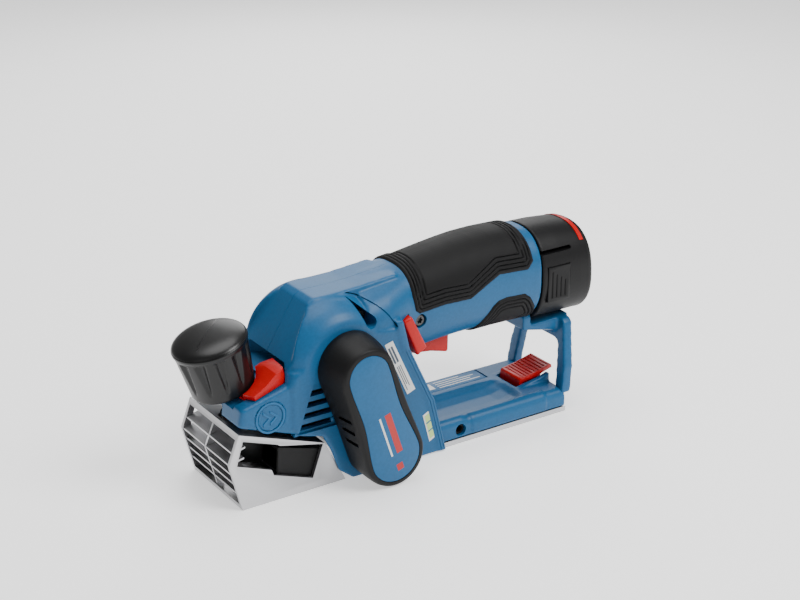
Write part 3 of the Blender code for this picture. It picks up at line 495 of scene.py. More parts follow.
def combine(part, operation, *shapes, solver="EXACT"):
    """Applies a Boolean with each shape in turn."""
    for shape in shapes:
        tool = shape if isinstance(shape, bpy.types.Object) else raw_object("tool", shape)
        modifier = part.modifiers.new("combine", "BOOLEAN")
        modifier.operation = operation
        modifier.solver = solver
        modifier.object = tool
        settle(part)
        bpy.data.objects.remove(tool)
    return part


def carve(part, *shapes):
    return combine(part, "DIFFERENCE", *shapes)


def weld(part, *shapes):
    return combine(part, "UNION", *shapes)


def remould(part, step=None, rounds=None):
    """Turns overlapping solids into one casting with softened edges and fillets."""
    modifier = part.modifiers.new("cast", "REMESH")
    modifier.mode = "VOXEL"
    modifier.voxel_size = step or sizes().cast_step
    settle(part)
    bm = bmesh.new()
    bm.from_mesh(part.data)
    for _ in range(sizes().cast_rounds if rounds is None else rounds):
        bmesh.ops.smooth_vert(bm, verts=bm.verts, factor=0.5, use_axis_x=True, use_axis_y=True, use_axis_z=True)
    bm.to_mesh(part.data)
    bm.free()
    return part


def rounded(part, width, segments=2, limit=28):
    """Rounds the edges sharper than a limit in degrees."""
    modifier = part.modifiers.new("edges", "BEVEL")
    modifier.width = width
    modifier.segments = segments
    modifier.limit_method = "ANGLE"
    modifier.angle_limit = math.radians(limit)
    modifier.harden_normals = False
    return settle(part)


def completed(part, finish, body, replaces=(), smooth=35):
    """Last step of each piece: normals, shading, finish, body and the CAD nodes it stands for."""
    bm = bmesh.new()
    bm.from_mesh(part.data)
    bmesh.ops.remove_doubles(bm, verts=bm.verts, dist=0.0005 * MM)
    bmesh.ops.recalc_face_normals(bm, faces=bm.faces)
    bm.to_mesh(part.data)
    bm.free()
    part.data.shade_smooth()
    if smooth < 180:
        part.data.set_sharp_from_angle(angle=math.radians(smooth))
    part.data.materials.clear()
    part.data.materials.append(FINISHES[finish])
    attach(part, body)
    if replaces:
        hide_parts(*replaces)
    return part


def inset_outline(points, depth):
    """Outline moved inwards by a depth, with mitred corners; points run anticlockwise."""
    result = []
    count = len(points)
    for index in range(count):
        before, here, after = (Vector(points[(index + step) % count]) for step in (-1, 0, 1))
        first = (here - before).normalized()
        second = (after - here).normalized()
        normal = Vector((-first.y, first.x))
        mitre = (normal + Vector((-second.y, second.x))).normalized()
        result.append(tuple(here + mitre * depth / max(0.4, mitre.dot(normal))))
    return result


def edge_distance(points, x, z):
    """Distance in millimetres from a point to an outline, positive inside it."""
    best = 1e9
    inside = False
    count = len(points)
    for index in range(count):
        (ax, az), (bx, bz) = points[index - 1], points[index]
        dx, dz = bx - ax, bz - az
        share = max(0.0, min(1.0, ((x - ax) * dx + (z - az) * dz) / (dx * dx + dz * dz)))
        best = min(best, math.hypot(x - ax - share * dx, z - az - share * dz))
        if (az > z) != (bz > z) and x < ax + (z - az) / (bz - az) * dx:
            inside = not inside
    return best if inside else -best


def soft_step(value):
    """0 below 0, 1 above 1, smooth between."""
    value = max(0.0, min(1.0, value))
    return value * value * (3 - 2 * value)


def dip(value, centre, half_width):
    """1 at the centre of a groove, falling smoothly to 0 at its half width."""
    return soft_step(1 - abs(value - centre) / half_width)


# ---------------------------------------------------------------- housing

MOTOR_X, MOTOR_Z = MOTOR_CENTRE.x / MM, MOTOR_CENTRE.z / MM
DRUM_X, DRUM_Z = DRUM_CENTRE.x / MM, DRUM_CENTRE.z / MM
BARREL = 37.8
PANEL = 33.2
SPINE_HALF = 16.3
FACE_LINE = ((-138.0, 78.0), (-117.5, 111.4))
HANDLE = ((-86, 88.5, 20.5, 23.5), (-72, 89.4, 22.6, 26.0), (-58, 90.0, 23.6, 26.8), (-46, 90.2, 24.0, 28.4),
          (-35, 91.2, 24.5, 29.0), (-22, 92.8, 24.9, 29.2), (-10, 93.9, 25.1, 29.7), (2, 94.6, 25.4, 30.2),
          (15, 94.9, 25.5, 30.3), (26, 94.7, 25.8, 30.2), (35, 94.5, 26.0, 30.1), (46, 93.9, 26.4, 29.7))
ROOT = ((-44, 90.6, 24.2, 28.4), (-52, 89.6, 26.0, 28.0), (-60, 88.6, 28.6, 27.6), (-68, 87.6, 31.2, 27.0),
        (-78, 86.6, 32.6, 26.6), (-84, 86.0, 32.6, 26.4))
RIM_LINE = ((-31, 0.6), (-40, 37), (-58, 75), (-63, 95))
SHOE_GAP_LINE = ((-107.6, 7.9), (-98.4, 0.6))


def handle_section(x, centre_z, half_y, half_z, power=2.4, sides=96):
    """Rounded section of the handle, in millimetres."""
    points = []
    for index in range(sides):
        angle = 2 * math.pi * index / sides
        across = math.copysign(abs(math.cos(angle)) ** (2 / power), math.cos(angle))
        up = math.copysign(abs(math.sin(angle)) ** (2 / power), math.sin(angle))
        points.append(Vector((x, half_y * across, centre_z + half_z * up)) * MM)
    return points


def barrel():
    """Round motor housing with domed ends."""
    dome = [(PANEL + 0.2, 25.5), (32.0, 28.5), (29.4, 31.6), (25.6, 34.4), (21.4, 36.4), (SPINE_HALF, BARREL)]
    profile = [(radius, -y) for y, radius in dome] + [(radius, y) for y, radius in reversed(dome)]
    return on_axle(turned(profile, 120), MOTOR_X, MOTOR_Z)


def spine():
    """Flat-topped ridge over the barrel, from the front facet back to the handle."""
    outline = ((-60, 60), (-56, 116.6), (-70, 115.4), (-84, 114.2), (-100, 113.8), (-113.5, 113.7), FACE_LINE[1],
               FACE_LINE[0], (-141, 70), (-120, 60))
    return prism_y(outline, -SPINE_HALF, SPINE_HALF)


def front_face_cutter():
    """Wedge that flattens the barrel between the two front creases, narrower towards the top."""
    (low_x, low_z), (high_x, high_z) = FACE_LINE
    slope = (Vector((high_x, high_z)) - Vector((low_x, low_z))).normalized()
    out = Vector((-slope.y, slope.x))
    rings = []
    for share, half in ((-0.25, 30.0), (0.0, 28.5), (0.5, 22.0), (1.0, SPINE_HALF), (1.25, SPINE_HALF - 2)):
        base = Vector((low_x, low_z)).lerp(Vector((high_x, high_z)), share)
        far = base + out * 12
        corners = ((base, -half), (far, -half - 9), (far, half + 9), (base, half))
        rings.append([Vector((point.x, y, point.y)) * MM for point, y in corners])
    return loft(rings)


def lower_body():
    """Side panels below the barrel, with softened front corners."""
    outline = [(-98.4, 0.6), (-33, 0.6), (-42, 37), (-60, 75), (-66, 90), (-103, 92), (-138, 77), (-141, 70),
               (-140, 43), (-133, 37.6), (-118.6, 33.6), (-113.2, 22.9), (-107.6, 7.9)]
    rings = []
    for y, back in ((-PANEL, 4.6), (-32.4, 2.6), (-30.6, 1.0), (-27, 0), (27, 0), (30.6, 1.0), (32.4, 2.6),
                    (PANEL, 4.6)):
        rings.append([Vector((x + back * (x < -134), y, z)) * MM for x, z in outline])
    return loft(rings)


def rear_rim():
    """Raised frame along the rear edge of each side panel."""
    band = 5.2
    inner = [(x - band, z) for x, z in RIM_LINE]
    outline = list(RIM_LINE) + inner[::-1]
    return [prism_y(outline, low, high) for low, high in ((-SIDE / MM, -24), (24, SIDE / MM))]


def root():
    """Flare from the handle to the side panels."""
    return loft([handle_section(*row, power=2.7) for row in ROOT])


def root_arc():
    """Shallow groove that follows the barrel across the root, from the drop to the lock-off button."""
    tool = raw_object("arc", ring_at(MOTOR_X, MOTOR_Z, BARREL + 2.0, BARREL + 1.3, -45, -12))
    fan = arc(MOTOR_X, MOTOR_Z, 60, 24, 74, 8) + [(MOTOR_X, MOTOR_Z)]
    combine(tool, "INTERSECT", prism_y(fan, -50, -10))
    depth = 0.7
    for rows, power in ((ROOT, 2.7), (HANDLE, 2.4)):
        carve(tool, loft([handle_section(x, z, half_y - depth, half_z - depth, power=power)
                          for x, z, half_y, half_z in rows]))
    return take(tool)


def deck():
    """Low block under the knob."""
    outline = ((-134, 38.1), (-124, 39), (-124, 74.3), (-141, 70.2), (-170.4, 63.0), (-172.2, 52.3))
    rings = []
    for y, back in ((-31, 1.8), (-30.2, 0.6), (-28.6, 0), (28.6, 0), (30.2, 0.6), (31, 1.8)):
        rings.append([Vector((x + back * (x < -160), y, z)) * MM for x, z in outline])
    return loft(rings)


def arch():
    """Arch behind the handle with the lip under the battery."""
    outline = ((-30.3, 12.2), (30.3, 12.2), (29, 30), (22.4, 58), (19.5, 60.6), (-19.5, 60.6), (-22.4, 58), (-29, 30))
    part = raw_object("arch", prism_x(outline, 60.8, 67.8, 0.12))
    window = [(-22.5, -1), (22.5, -1), (21.4, 20)] + [(14.5 + 4 * math.cos(a), 42 + 4 * math.sin(a)) for a in
              (0.2, 0.8, 1.4)] + [(-14.5 - 4 * math.cos(a), 42 + 4 * math.sin(a)) for a in (1.4, 0.8, 0.2)]
    window += [(-21.4, 20)]
    carve(part, prism_x(window, 40, 90))
    lip = ((78.5, 60.6), (64, 60.2), (46.2, 59.9), (46.2, 66), (40, 66), (40, 57), (66, 50), (72.6, 50))
    rings = []
    for y, trim in ((-16.4, 2.5), (-14.6, 0.8), (-12, 0), (12, 0), (14.6, 0.8), (16.4, 2.5)):
        rings.append([Vector((x - trim * (x > 70), y, max(z, 50 + trim))) * MM for x, z in lip])
    return weld(part, loft(rings))


def vent_slots(side):
    """Four slots in the triangular recess, each with a slanted front end."""
    shapes = []
    for index in range(4):
        low = 40.6 + 6.7 * index
        high = low + 3.6
        outline = [(-107, low), (-107, high), (-125.4 - (66 - high) * 0.34, high), (-125.4 - (66 - low) * 0.34, low)]
        shapes.append(prism_y(outline, *sorted((side * 22, side * 36))))
    return shapes


def housing_rooms():
    """Hollows and passages of the shell, for the pieces that it holds."""
    rooms = [block((-112.6, -31.3, -2), (-49, 31.3, 45)), block((-131, -31.3, -2), (-112, 31.3, 37.4)),
             block((-135, -27, 37), (-112, 27, 68)), block((-131, -27, 20), (-112, 27, 40))]
    rooms.append(prism_y(((-74, -2), (-20, -2), (-20, 16.4), (-41.3, 16.4), (-55.7, 45), (-74, 45)), -31.4, 31.4))
    rooms.append(prism_y(((-169.6, 38), (-120, 26), (-120, 50), (-169.6, 59.2)), -28.5, 28.5))
    rooms.append(on_axle(turned([(22.4, -28.5), (22.4, 30.5)], 48), MOTOR_X, MOTOR_Z))
    rooms.append(on_axle(turned([(6, -40), (6, -20)], 32), MOTOR_X, MOTOR_Z))
    rooms.append(on_axle(turned([(9.4, -40), (9.4, -20)], 32), DRUM_X, DRUM_Z))
    rooms.append(block((-73, -15, 57), (-20, 15, 99)))
    sleeve = placed(turned([(22.2, -23), (22.2, 60)], 96), Matrix.Translation((0, 0, 92 * MM)) @ ALONG_X)
    rooms.append(sleeve)
    rooms.append(block((-48, -8.8, 50), (-11.6, 8.8, 72)))
    rooms.append(block((-180, -9, 44), (-162, 14, 58.4)))
    return rooms


def knob_rooms():
    """Round seats under the knob, and the slot that the lever's corner sweeps through."""
    shapes = (((6.8, -20), (6.8, 2)), ((22.2, -2.3), (22.2, 2)), ((38, 0.1), (38, 8.8)))
    return [on_knob(turned(profile, 96)) for profile in shapes]


def lock_off_outline(grow=0.0):
    return inset_outline(((-51, 67.6), (-44.2, 72), (-55.2, 94.2), (-61, 91.6)), -grow)


def ring_at(x, z, outer, inner, low, high):
    """Flat ring across the machine, its radii and ends in millimetres."""
    part = raw_object("ring", on_axle(turned([(outer, low), (outer, high)], 96), x, z))
    carve(part, on_axle(turned([(inner, low - 1), (inner, high + 1)], 96), x, z))
    return take(part)


def teardrop(tip, centre, radius):
    """Outline of a drop with its point at tip."""
    delta = Vector(tip) - Vector(centre)
    heading = math.degrees(math.atan2(delta.y, delta.x))
    spread = math.degrees(math.acos(radius / delta.length))
    return [tip] + arc(centre[0], centre[1], radius, heading + spread, heading + 360 - spread, 18)


def housing_body():
    """The whole blue body as one casting."""
    drum = weld(raw_object("drum", barrel()), spine())
    carve(drum, front_face_cutter())
    body = raw_object("body", take(drum), lower_body(), *rear_rim(), root(), deck(),
                      loft([handle_section(*row) for row in HANDLE]), take(arch()))
    remould(body)
    for side in (-1, 1):
        for offset in (1.5, 3.5):
            line = [(x - offset, z) for x, z in RIM_LINE[:3]]
            line += [(x - 0.5, z) for x, z in line[::-1]]
            carve(body, prism_y(line, *sorted((side * (SIDE / MM - 0.45), side * 36))))
    carve(body, raw_object("rooms", *knob_rooms()[:1]), *knob_rooms()[1:])
    for shape in housing_rooms():
        carve(body, shape)
    carve(body, block((-190, -33, 40), (-171.9, 33, 66.5)))
    wall = ((-124, 71), (-137.4, 37.7), (-103, 37.7), (-103, 71))
    recess = ((-124.8, 69), (-135.4, 39.1), (-103, 39.1), (-103, 69))
    for side in (-1, 1):
        weld(body, prism_y(wall, *sorted((side * 27.5, side * 31.3))))
        carve(body, prism_y(recess, *sorted((side * 31.2, side * 40))))
    carve(body, root_arc())
    for outer, inner in ((10.2, 9.6), (8.3, 7.8)):
        carve(body, ring_at(-152.4, 54.3, outer, inner, -33, -30.5))
    tools = vent_slots(-1) + vent_slots(1)
    tools.append(prism_y(teardrop((-93.4, 111.6), (-84.3, 97.7), 3.9), -40, -13))
    tools.append(prism_y(lock_off_outline(0.4), -45, -12.4))
    tools.append(on_axle(turned([(4.4, -40), (4.4, -20)], 40), -44.5, 86.5))
    for shape in tools:
        carve(body, shape)
    return body


def take(part):
    """The mesh of a scratch object as a bmesh; the object is removed."""
    bm = bmesh.new()
    bm.from_mesh(part.data)
    bpy.data.objects.remove(part)
    return bm


def halves(body):
    """The two half shells on either side of the seam."""
    made = []
    for name, low, high in (("housing_shell_left", -60, -SPLIT / MM), ("housing_shell_right", SPLIT / MM, 60)):
        half = body.copy()
        half.data = body.data.copy()
        half.name = name
        bpy.context.collection.objects.link(half)
        combine(half, "INTERSECT", block((-200, low, -10), (120, high, 140)))
        made.append(half)
    bpy.data.objects.remove(body)
    return made


class PLANER_OT_housing(Operator):
    """Blue half shells with the motor barrel, handle, deck and rear arch"""
    bl_idname = "planer.housing"
    bl_label = "Housing"

    def execute(self, context):
        left, right = halves(housing_body())
        completed(left, "blue_plastic", "housing", ["housing_left"])
        completed(right, "blue_plastic", "housing", ["housing_right"])
        return {"FINISHED"}


# ---------------------------------------------------------------- tray under the handle

def trough(x, scale):
    """Section of the cutter that leaves the hollow in the tray."""
    depth = 5.8 * scale
    low = 16.7
    points = ((-25.4, low + 0.4), (-23, low - 0.4 * depth), (-18.5, low - 0.84 * depth), (-12, low - depth),
              (-3, low - 0.97 * depth), (4, low - 0.62 * depth), (10, low + 0.4), (10, 30), (-25.4, 30))
    return mm(*[(x, y, z) for y, z in points])


def tray_body():
    """Tray between the sole and the hand: a rolled rim, a long hollow, drum cheeks and seats."""
    side = SOLE_HALF / MM - 0.2
    outline = ((-72, 3.7), (65, 3.7), (65, 14.6), (62, 15.6), (-12, 15.8), (-16, 17), (-41.5, 17), (-56, 44), (-60.5, 44),
               (-60.5, 24))
    rings = []
    for y, trim in ((-side, 4.8), (-side + 0.8, 2.3), (-side + 2.2, 0.8), (-side + 4.4, 0), (side - 4.4, 0),
                    (side - 2.2, 0.8), (side - 0.8, 2.3), (side, 4.8)):
        rings.append([Vector((x, y, z - trim * (11 < z < 20))) * MM for x, z in outline])
    part = raw_object("tray", loft(rings))
    pad_rings = []
    for y, top in ((-side - 0.7, 10.6), (-side + 0.2, 13.8), (-side + 1.8, 15.6), (-side + 4.4, 16.6), (-24, 16.6)):
        pad_rings.append(mm((-9, y, 4.8), (49, y, 4.8), (49, y, top), (-9, y, top)))
    weld(part, loft(pad_rings))
    cheek = ((-98.5, 3.7), (-58, 3.7), (-58, 43.5), (-112, 43.5), (-112, 33))
    weld(part, *[prism_y(cheek, low, high) for low, high in ((-31.1, -28.6), (28.6, 31.1))])
    ramp = ((38, 12), (38, 15.6), (44, 16.7), (56, 18.5), (65, 21.0), (65, 12))
    weld(part, *[prism_y(ramp, low, high) for low, high in ((-13.8, -10), (10, 13.8))])
    carve(part, on_axle(turned([(21, -28.6), (21, 28.6)], 64), DRUM_X, DRUM_Z))
    for low, high in ((-33, -28), (28, 33)):
        carve(part, on_axle(turned([(9.3, low), (9.3, high)], 48), DRUM_X, DRUM_Z))
    carve(part, loft([trough(*station) for station in ((-48, 0.1), (-41, 0.7), (-32, 1), (24, 1), (33, 0.7), (38.4, 0.1))]))
    remould(part, 0.7 * MM, 4)
    carve(part, block((39.4, -10.9, 6), (62.5, 10.9, 30)))
    carve(part, block((36.6, -11.5, 2.7), (62, 11.5, 6.4)))
    carve(part, block((-14, 11.8, 14.5), (34, 27.2, 30)))
    carve(part, on_axle(turned([(3.9, -34), (3.9, -18)], 40), -18, 9))
    carve(part, on_axle(turned([(1.8, -16), (1.8, 16)], 24), PARK_PIVOT.x / MM, PARK_PIVOT.z / MM))
    return part


class PLANER_OT_tray(Operator):
    """Blue tray between the sole and the hand"""
    bl_idname = "planer.tray"
    bl_label = "Tray"

    def execute(self, context):
        completed(tray_body(), "blue_plastic", "housing", ["base_body"])
        return {"FINISHED"}


# ---------------------------------------------------------------- front shoe and sole

SHOE_SIDE = ((-102.5, 0), (-116.4, 28), (-172.6, 48.5), (-179.5, 30.4), (-172, 0))
WINDOW = ((-125, 7.3), (-117.7, 27.7), (-146.5, 34.6), (-148, 35.8), (-170.3, 43.9), (-174.7, 29.3), (-152.3, 20.6),
          (-151, 16.8))
FINS = ((10.5, -174, -165.5), (17, -175.6, -167), (23.5, -177.2, -168), (30.4, -178.9, -169), (37, -176.4, -168))


def shoe():
    """Cast channel with windowed sides, sloping top and a ribbed front."""
    half = SOLE_HALF / MM
    part = raw_object("front_shoe_casting", prism_y(SHOE_SIDE, -half, half))
    hollow = ((-90, 3.4), (-90, 19), (-116.5, 25.2), (-170.6, 45), (-187.5, 45), (-190, 30.4), (-182, 3.4))
    carve(part, prism_y(hollow, 2.4 - half, half - 2.4))
    carve(part, prism_y(WINDOW, -half - 1, half + 1))
    upright = ((-168, 2), (-168, 46.6), (-171.6, 48), (-179.2, 30.4), (-171.8, 2))
    weld(part, prism_y(upright, -0.8, 0.8))
    for z, front, back in FINS:
        fin = ((front, z - 0.5), (front, z + 0.5), (back, z + 2.5), (back, z + 1.5))
        weld(part, prism_y(fin, -28.6, 28.6))
    boss = raw_object("boss", on_knob(turned([(7, -64), (7, -50)], 48)))
    combine(boss, "INTERSECT", block((-170, -12, 0.5), (-140, 12, 30)))
    weld(part, boss)
    carve(part, on_knob(turned([(3.4, -63.2), (3.4, -40)], 32)))
    carve(part, on_knob(turned([(8, -44), (8, 0)], 48)))
    return rounded(part, sizes().edge, 2, 20)


class PLANER_OT_shoe(Operator):
    """Cast front shoe"""
    bl_idname = "planer.shoe"
    bl_label = "Front shoe"

    def execute(self, context):
        completed(shoe(), "machined_aluminium", "shoe", ["front_shoe"], smooth=30)
        for side, name in ((-1, "left"), (1, "right")):
            outline = ((-164.5, 22), (-150, 17.5), (-147.4, 34), (-150, 35.4), (-164.5, 40))
            guide = raw_object("shoe_guide_%s" % name, prism_y(outline, *sorted((side * 12.6, side * 14.0))))
            completed(rounded(guide, 0.3 * MM, 2), "black_plastic", "shoe")
        return {"FINISHED"}


# ---------------------------------------------------------------- depth knob

def knob_surface(turn, share):
    """Point on the knob: a flared side with tapered flutes under a proud rim, and a domed top."""
    angle = 2 * math.pi * turn
    foot, rim, side_height, crown = 19.2, 22.6, 31.9, 38.3
    if share < 0.02:
        return Vector((1e-9 + 4.6 * share / 0.02 * math.cos(angle), 4.6 * share / 0.02 * math.sin(angle), 3.4)) * MM
    if share < 0.05:
        return Vector((4.6 * math.cos(angle) + 12.9 * math.cos(angle) * (share - 0.02) / 0.03,
                       4.6 * math.sin(angle) + 12.9 * math.sin(angle) * (share - 0.02) / 0.03, 3.4)) * MM
    if share < 0.07:
        radius, height = 17.5 + 0.9 * (share - 0.05) / 0.02, 3.4 - 2.4 * (share - 0.05) / 0.02
        return Vector((radius * math.cos(angle), radius * math.sin(angle), height)) * MM
    if share < 0.75:
        rise = (share - 0.07) / 0.68
        height = 1.0 + (side_height - 1.0) * rise
        radius = foot + (rim - foot) * rise ** 1.1 - 0.8 * (1 - soft_step(rise / 0.05))
        pitch = 2 * math.pi / sizes().flutes
        offset = (angle / pitch) % 1.0 - 0.5
        width = 0.05 + 0.30 * rise
        reach = soft_step((rise - 0.16) / 0.2) * soft_step((0.93 - rise) / 0.03)
        groove = max(0.0, 1 - abs(offset) / width)
        radius -= (sizes().flute_depth / MM) * reach * min(1.0, 1.4 * groove) * (0.45 + 0.75 * rise)
        radius -= 0.3 * (1 - soft_step((rise - 0.955) / 0.02))
    else:
        rise = (share - 0.75) / 0.25
        lean = math.radians(90 * rise)
        radius = rim * math.cos(lean) ** 0.8 if rise < 1 else 0.0
        height = side_height + (crown - side_height) * math.sin(lean) ** 0.9
        radius -= 0.35 * dip(rise, 0.09, 0.03)
    return Vector((radius * math.cos(angle), radius * math.sin(angle), height)) * MM


class PLANER_OT_knob(Operator):
    """Fluted depth knob"""
    bl_idname = "planer.knob"
    bl_label = "Depth knob"

    def execute(self, context):
        bm = wrapped(288, 150, knob_surface)
        part = raw_object("depth_knob_fluted", on_knob(bm))
        completed(part, "knob_plastic", "knob", ["depth_knob"], smooth=50)
        return {"FINISHED"}


# ---------------------------------------------------------------- ejector lever

LEVER_START, LEVER_SWEEP = -84, 66


def knob_slab(outline, low, high):
    """Slab square to the knob axis, its outline and heights in millimetres, before it is placed."""
    return loft([mm(*[(u, v, w) for u, v in outline]) for w in (low, high)])


def sector(inner, outer, margin, steps=20):
    start, end = LEVER_START + margin, LEVER_START + LEVER_SWEEP - margin
    return arc(0, 0, inner, start, end, steps) + arc(0, 0, outer, end, start, steps)


def lever():
    """Red selector with a raised outer corner, hollowed towards the knob."""
    outline = arc(0, 0, 20.6, LEVER_START, LEVER_START + LEVER_SWEEP, 20)
    outline += [(30.5, -9), (29.8, -20)] + arc(24.6, -21.2, 5.0, 10, -80, 6) + [(5.4, -28.3)]
    part = raw_object("deflector_lever_moulded", knob_slab(outline, 0.4, 8.2))
    rings = []
    for v in (-34, -27, -21, -14, -6):
        lift = 0.5 * math.cos(math.radians((v + 20) * 6))
        rings.append(mm(*[(u, v, w) for u, w in ((-6, 2.6 + lift), (6, 2.9 + lift), (14, 4.8), (23, 8.3 - 0.3 * lift),
                                                 (23, 24), (-6, 24))]))
    carve(part, loft(rings))
    rounded(part, 0.7 * MM, 3, 24)
    web = knob_slab(sector(20.95, 21.9, 5.7), -1.5, 1.3)
    flange = knob_slab(sector(5.3, 21.4, 2.3), -2.0, -0.4)
    sleeve = turned([(6.2, -4.4), (6.2, -0.9)], 48)
    weld(part, web, flange, sleeve)
    carve(part, turned([(4.6, -20), (4.6, 4)], 48))
    return raw_object("deflector_lever_moulded", on_knob(take(part)))


class PLANER_OT_lever(Operator):
    """Red chip selector"""
    bl_idname = "planer.lever"
    bl_label = "Ejector lever"

    def execute(self, context):
        completed(lever(), "red_plastic", "ejector", ["deflector_lever"])
        return {"FINISHED"}


# ---------------------------------------------------------------- belt cover

def two_lobes(low_radius, high_x, high_radius, waist=0.0, sides=40):
    """Outline in millimetres round the drum end and the motor end, drawn in at its waist."""
    low = Vector((DRUM_X, DRUM_Z + 0.7))
    high = Vector((high_x, MOTOR_Z + 0.6))
    delta = high - low
    heading = math.atan2(delta.y, delta.x)
    spread = math.acos((low_radius - high_radius) / delta.length)
    points = []
    for index in range(sides + 1):
        angle = heading + spread + (2 * math.pi - 2 * spread) * index / sides
        points.append(low + Vector((math.cos(angle), math.sin(angle))) * low_radius)
    points += straight(points[-1], high + unit(heading - spread) * high_radius, waist)
    for index in range(sides + 1):
        angle = heading - spread + 2 * spread * index / sides
        points.append(high + Vector((math.cos(angle), math.sin(angle))) * high_radius)
    points += straight(points[-1], low + unit(heading + spread) * low_radius, waist)
    return [tuple(point) for point in points]


def unit(angle):
    return Vector((math.cos(angle), math.sin(angle)))


def straight(start, end, waist, steps=16):
    """Points between two tangent points, drawn in to the left of the way from start to end by the waist."""
    along = (end - start).normalized()
    inward = Vector((-along.y, along.x))
    points = []
    for index in range(1, steps):
        share = index / steps
        points.append(start.lerp(end, share) + inward * waist * math.sin(math.pi * share) ** 2)
    return points


COVER_STATIONS = ((-33.0, 20.0, -100.8, 21.2), (-39.0, 20.2, -100.8, 20.8), (-43.5, 20.3, -100.8, 20.1),
                  (-47.5, 20.3, -100.8, 19.2), (-51.0, 20.2, -100.8, 18.3), (-53.6, 20.0, -100.8, 17.6),
                  (-55.2, 19.5, -100.8, 17.0), (COVER_FACE / MM, 18.6, -100.8, 16.2))


def cover_cup():
    """Black cup over the belt, with its bed for the inlay and three slits."""
    rings = []
    for y, low, high_x, high in COVER_STATIONS:
        rings.append([Vector((x, y, z)) * MM for x, z in two_lobes(low, high_x, high, 0.6)])
    part = raw_object("belt_cover_cup", loft(rings))
    rounded(part, 0.5 * MM, 2, 40)
    room = []
    for y, low, high_x, high in ((-30.0, 17.7, -100.8, 18.6), (-46, 17.7, -100.8, 17.0), (-51.5, 17.4, -100.8, 14.6)):
        room.append([Vector((x, y, z)) * MM for x, z in two_lobes(low, high_x, high)])
    carve(part, loft(room))
    face = COVER_FACE / MM
    carve(part, prism_y(two_lobes(16.7, -100.8, 13.7, 1.9), face - 1, face + 0.9))
    for index in range(3):
        x, z = -124 + 4.6 * index, 47 - 8 * index
        outline = ((x, z), (x + 14, z), (x + 14, z + 2.4), (x + 1.2, z + 2.4))
        carve(part, prism_y(outline, -52, -40))
    return part


def cover_inlay():
    face = COVER_FACE / MM
    part = raw_object("belt_cover_inlay_plate", prism_y(two_lobes(16.4, -100.8, 13.4, 1.9), face + 0.1, face + 0.9))
    return rounded(part, 0.25 * MM, 2, 40)


class PLANER_OT_cover(Operator):
    """Belt cover with its blue inlay and plain printed marks"""
    bl_idname = "planer.cover"
    bl_label = "Belt cover"

    def execute(self, context):
        completed(cover_cup(), "black_plastic", "housing", ["belt_cover"])
        completed(cover_inlay(), "blue_plastic", "housing", ["belt_cover_inlay"])
        self.marks()
        return {"FINISHED"}

    def marks(self):
        """Plain bars printed along the inlay."""
        low = Vector((DRUM_X, DRUM_Z))
        high = Vector((MOTOR_X + 2, MOTOR_Z))
        along = (high - low).normalized()
        side = Vector((along.y, -along.x))
        face = COVER_FACE / MM
        bars = (("cover_stripe_wide", "print_red", 2.0, 30.0, 3.4, 4.2), ("cover_stripe_fine", "label_film", 2.0, 30.0, -2.2, 1.2),
                ("cover_stripe_short", "print_red", -9.5, -5.0, 0.6, 4.4))
        for name, finish, start, end, offset, width in bars:
            corners = []
            for run, across in ((start, -0.5), (end, -0.5), (end, 0.5), (start, 0.5)):
                corners.append(tuple(low + along * run + side * (offset + across * width)))
            part = raw_object(name, prism_y(corners, face + 0.02, face + 0.12))
            completed(part, finish, "housing")


# ---------------------------------------------------------------- grips

TOP_GRIP = ((-51, 150), (-50.5, 124), (-50.6, 113), (-50.4, 103), (-48.6, 94.2), (-45, 91.4), (-27, 93.4), (-8, 93.0), (4, 99.5),
            (13.5, 104.0), (35, 103), (39.4, 107.4), (38.6, 124), (38, 150))
LOW_GRIP = ((-1, 40), (-1, 62), (4, 75), (9.5, 84), (13, 86.8), (19, 88.0), (33, 87.3), (37.5, 84), (43.5, 75.5),
            (45.2, 70), (44.6, 66.3), (39.4, 66), (39.4, 40))


def section_at(x):
    """Centre height, half width and half height of the handle at x, in millimetres."""
    for (x0, *low), (x1, *high) in zip(HANDLE, HANDLE[1:]):
        if x <= x1:
            break
    share = max(0.0, min(1.0, (x - x0) / (x1 - x0)))
    return [a + (b - a) * share for a, b in zip(low, high)]


def handle_point(x, angle, rise):
    """Point on the handle's surface at x and an angle from +Y towards +Z, lifted by rise."""
    centre_z, half_y, half_z = section_at(x)
    across = math.copysign(abs(math.cos(angle)) ** (2 / 2.4), math.cos(angle))
    up = math.copysign(abs(math.sin(angle)) ** (2 / 2.4), math.sin(angle))
    return (half_y + rise) * across, centre_z + (half_z + rise) * up


def pad_rise(depth, grooves, rise):
    """Height of a soft pad at a distance inside its outline: a rounded edge, then contour grooves."""
    height = rise * soft_step(depth / 1.3) ** 0.6
    for place in grooves:
        height -= (sizes().grip_groove / MM) * dip(depth, place, 0.55)
    return height


def grip_skin():
    """Outer skin of handle and root, for rays."""
    part = raw_object("skin", loft([handle_section(*row) for row in HANDLE]),
                      loft([handle_section(*row, power=2.7) for row in ROOT]))
    bm = take(part)
    tree = BVHTree.FromBMesh(bm)
    bm.free()
    return tree


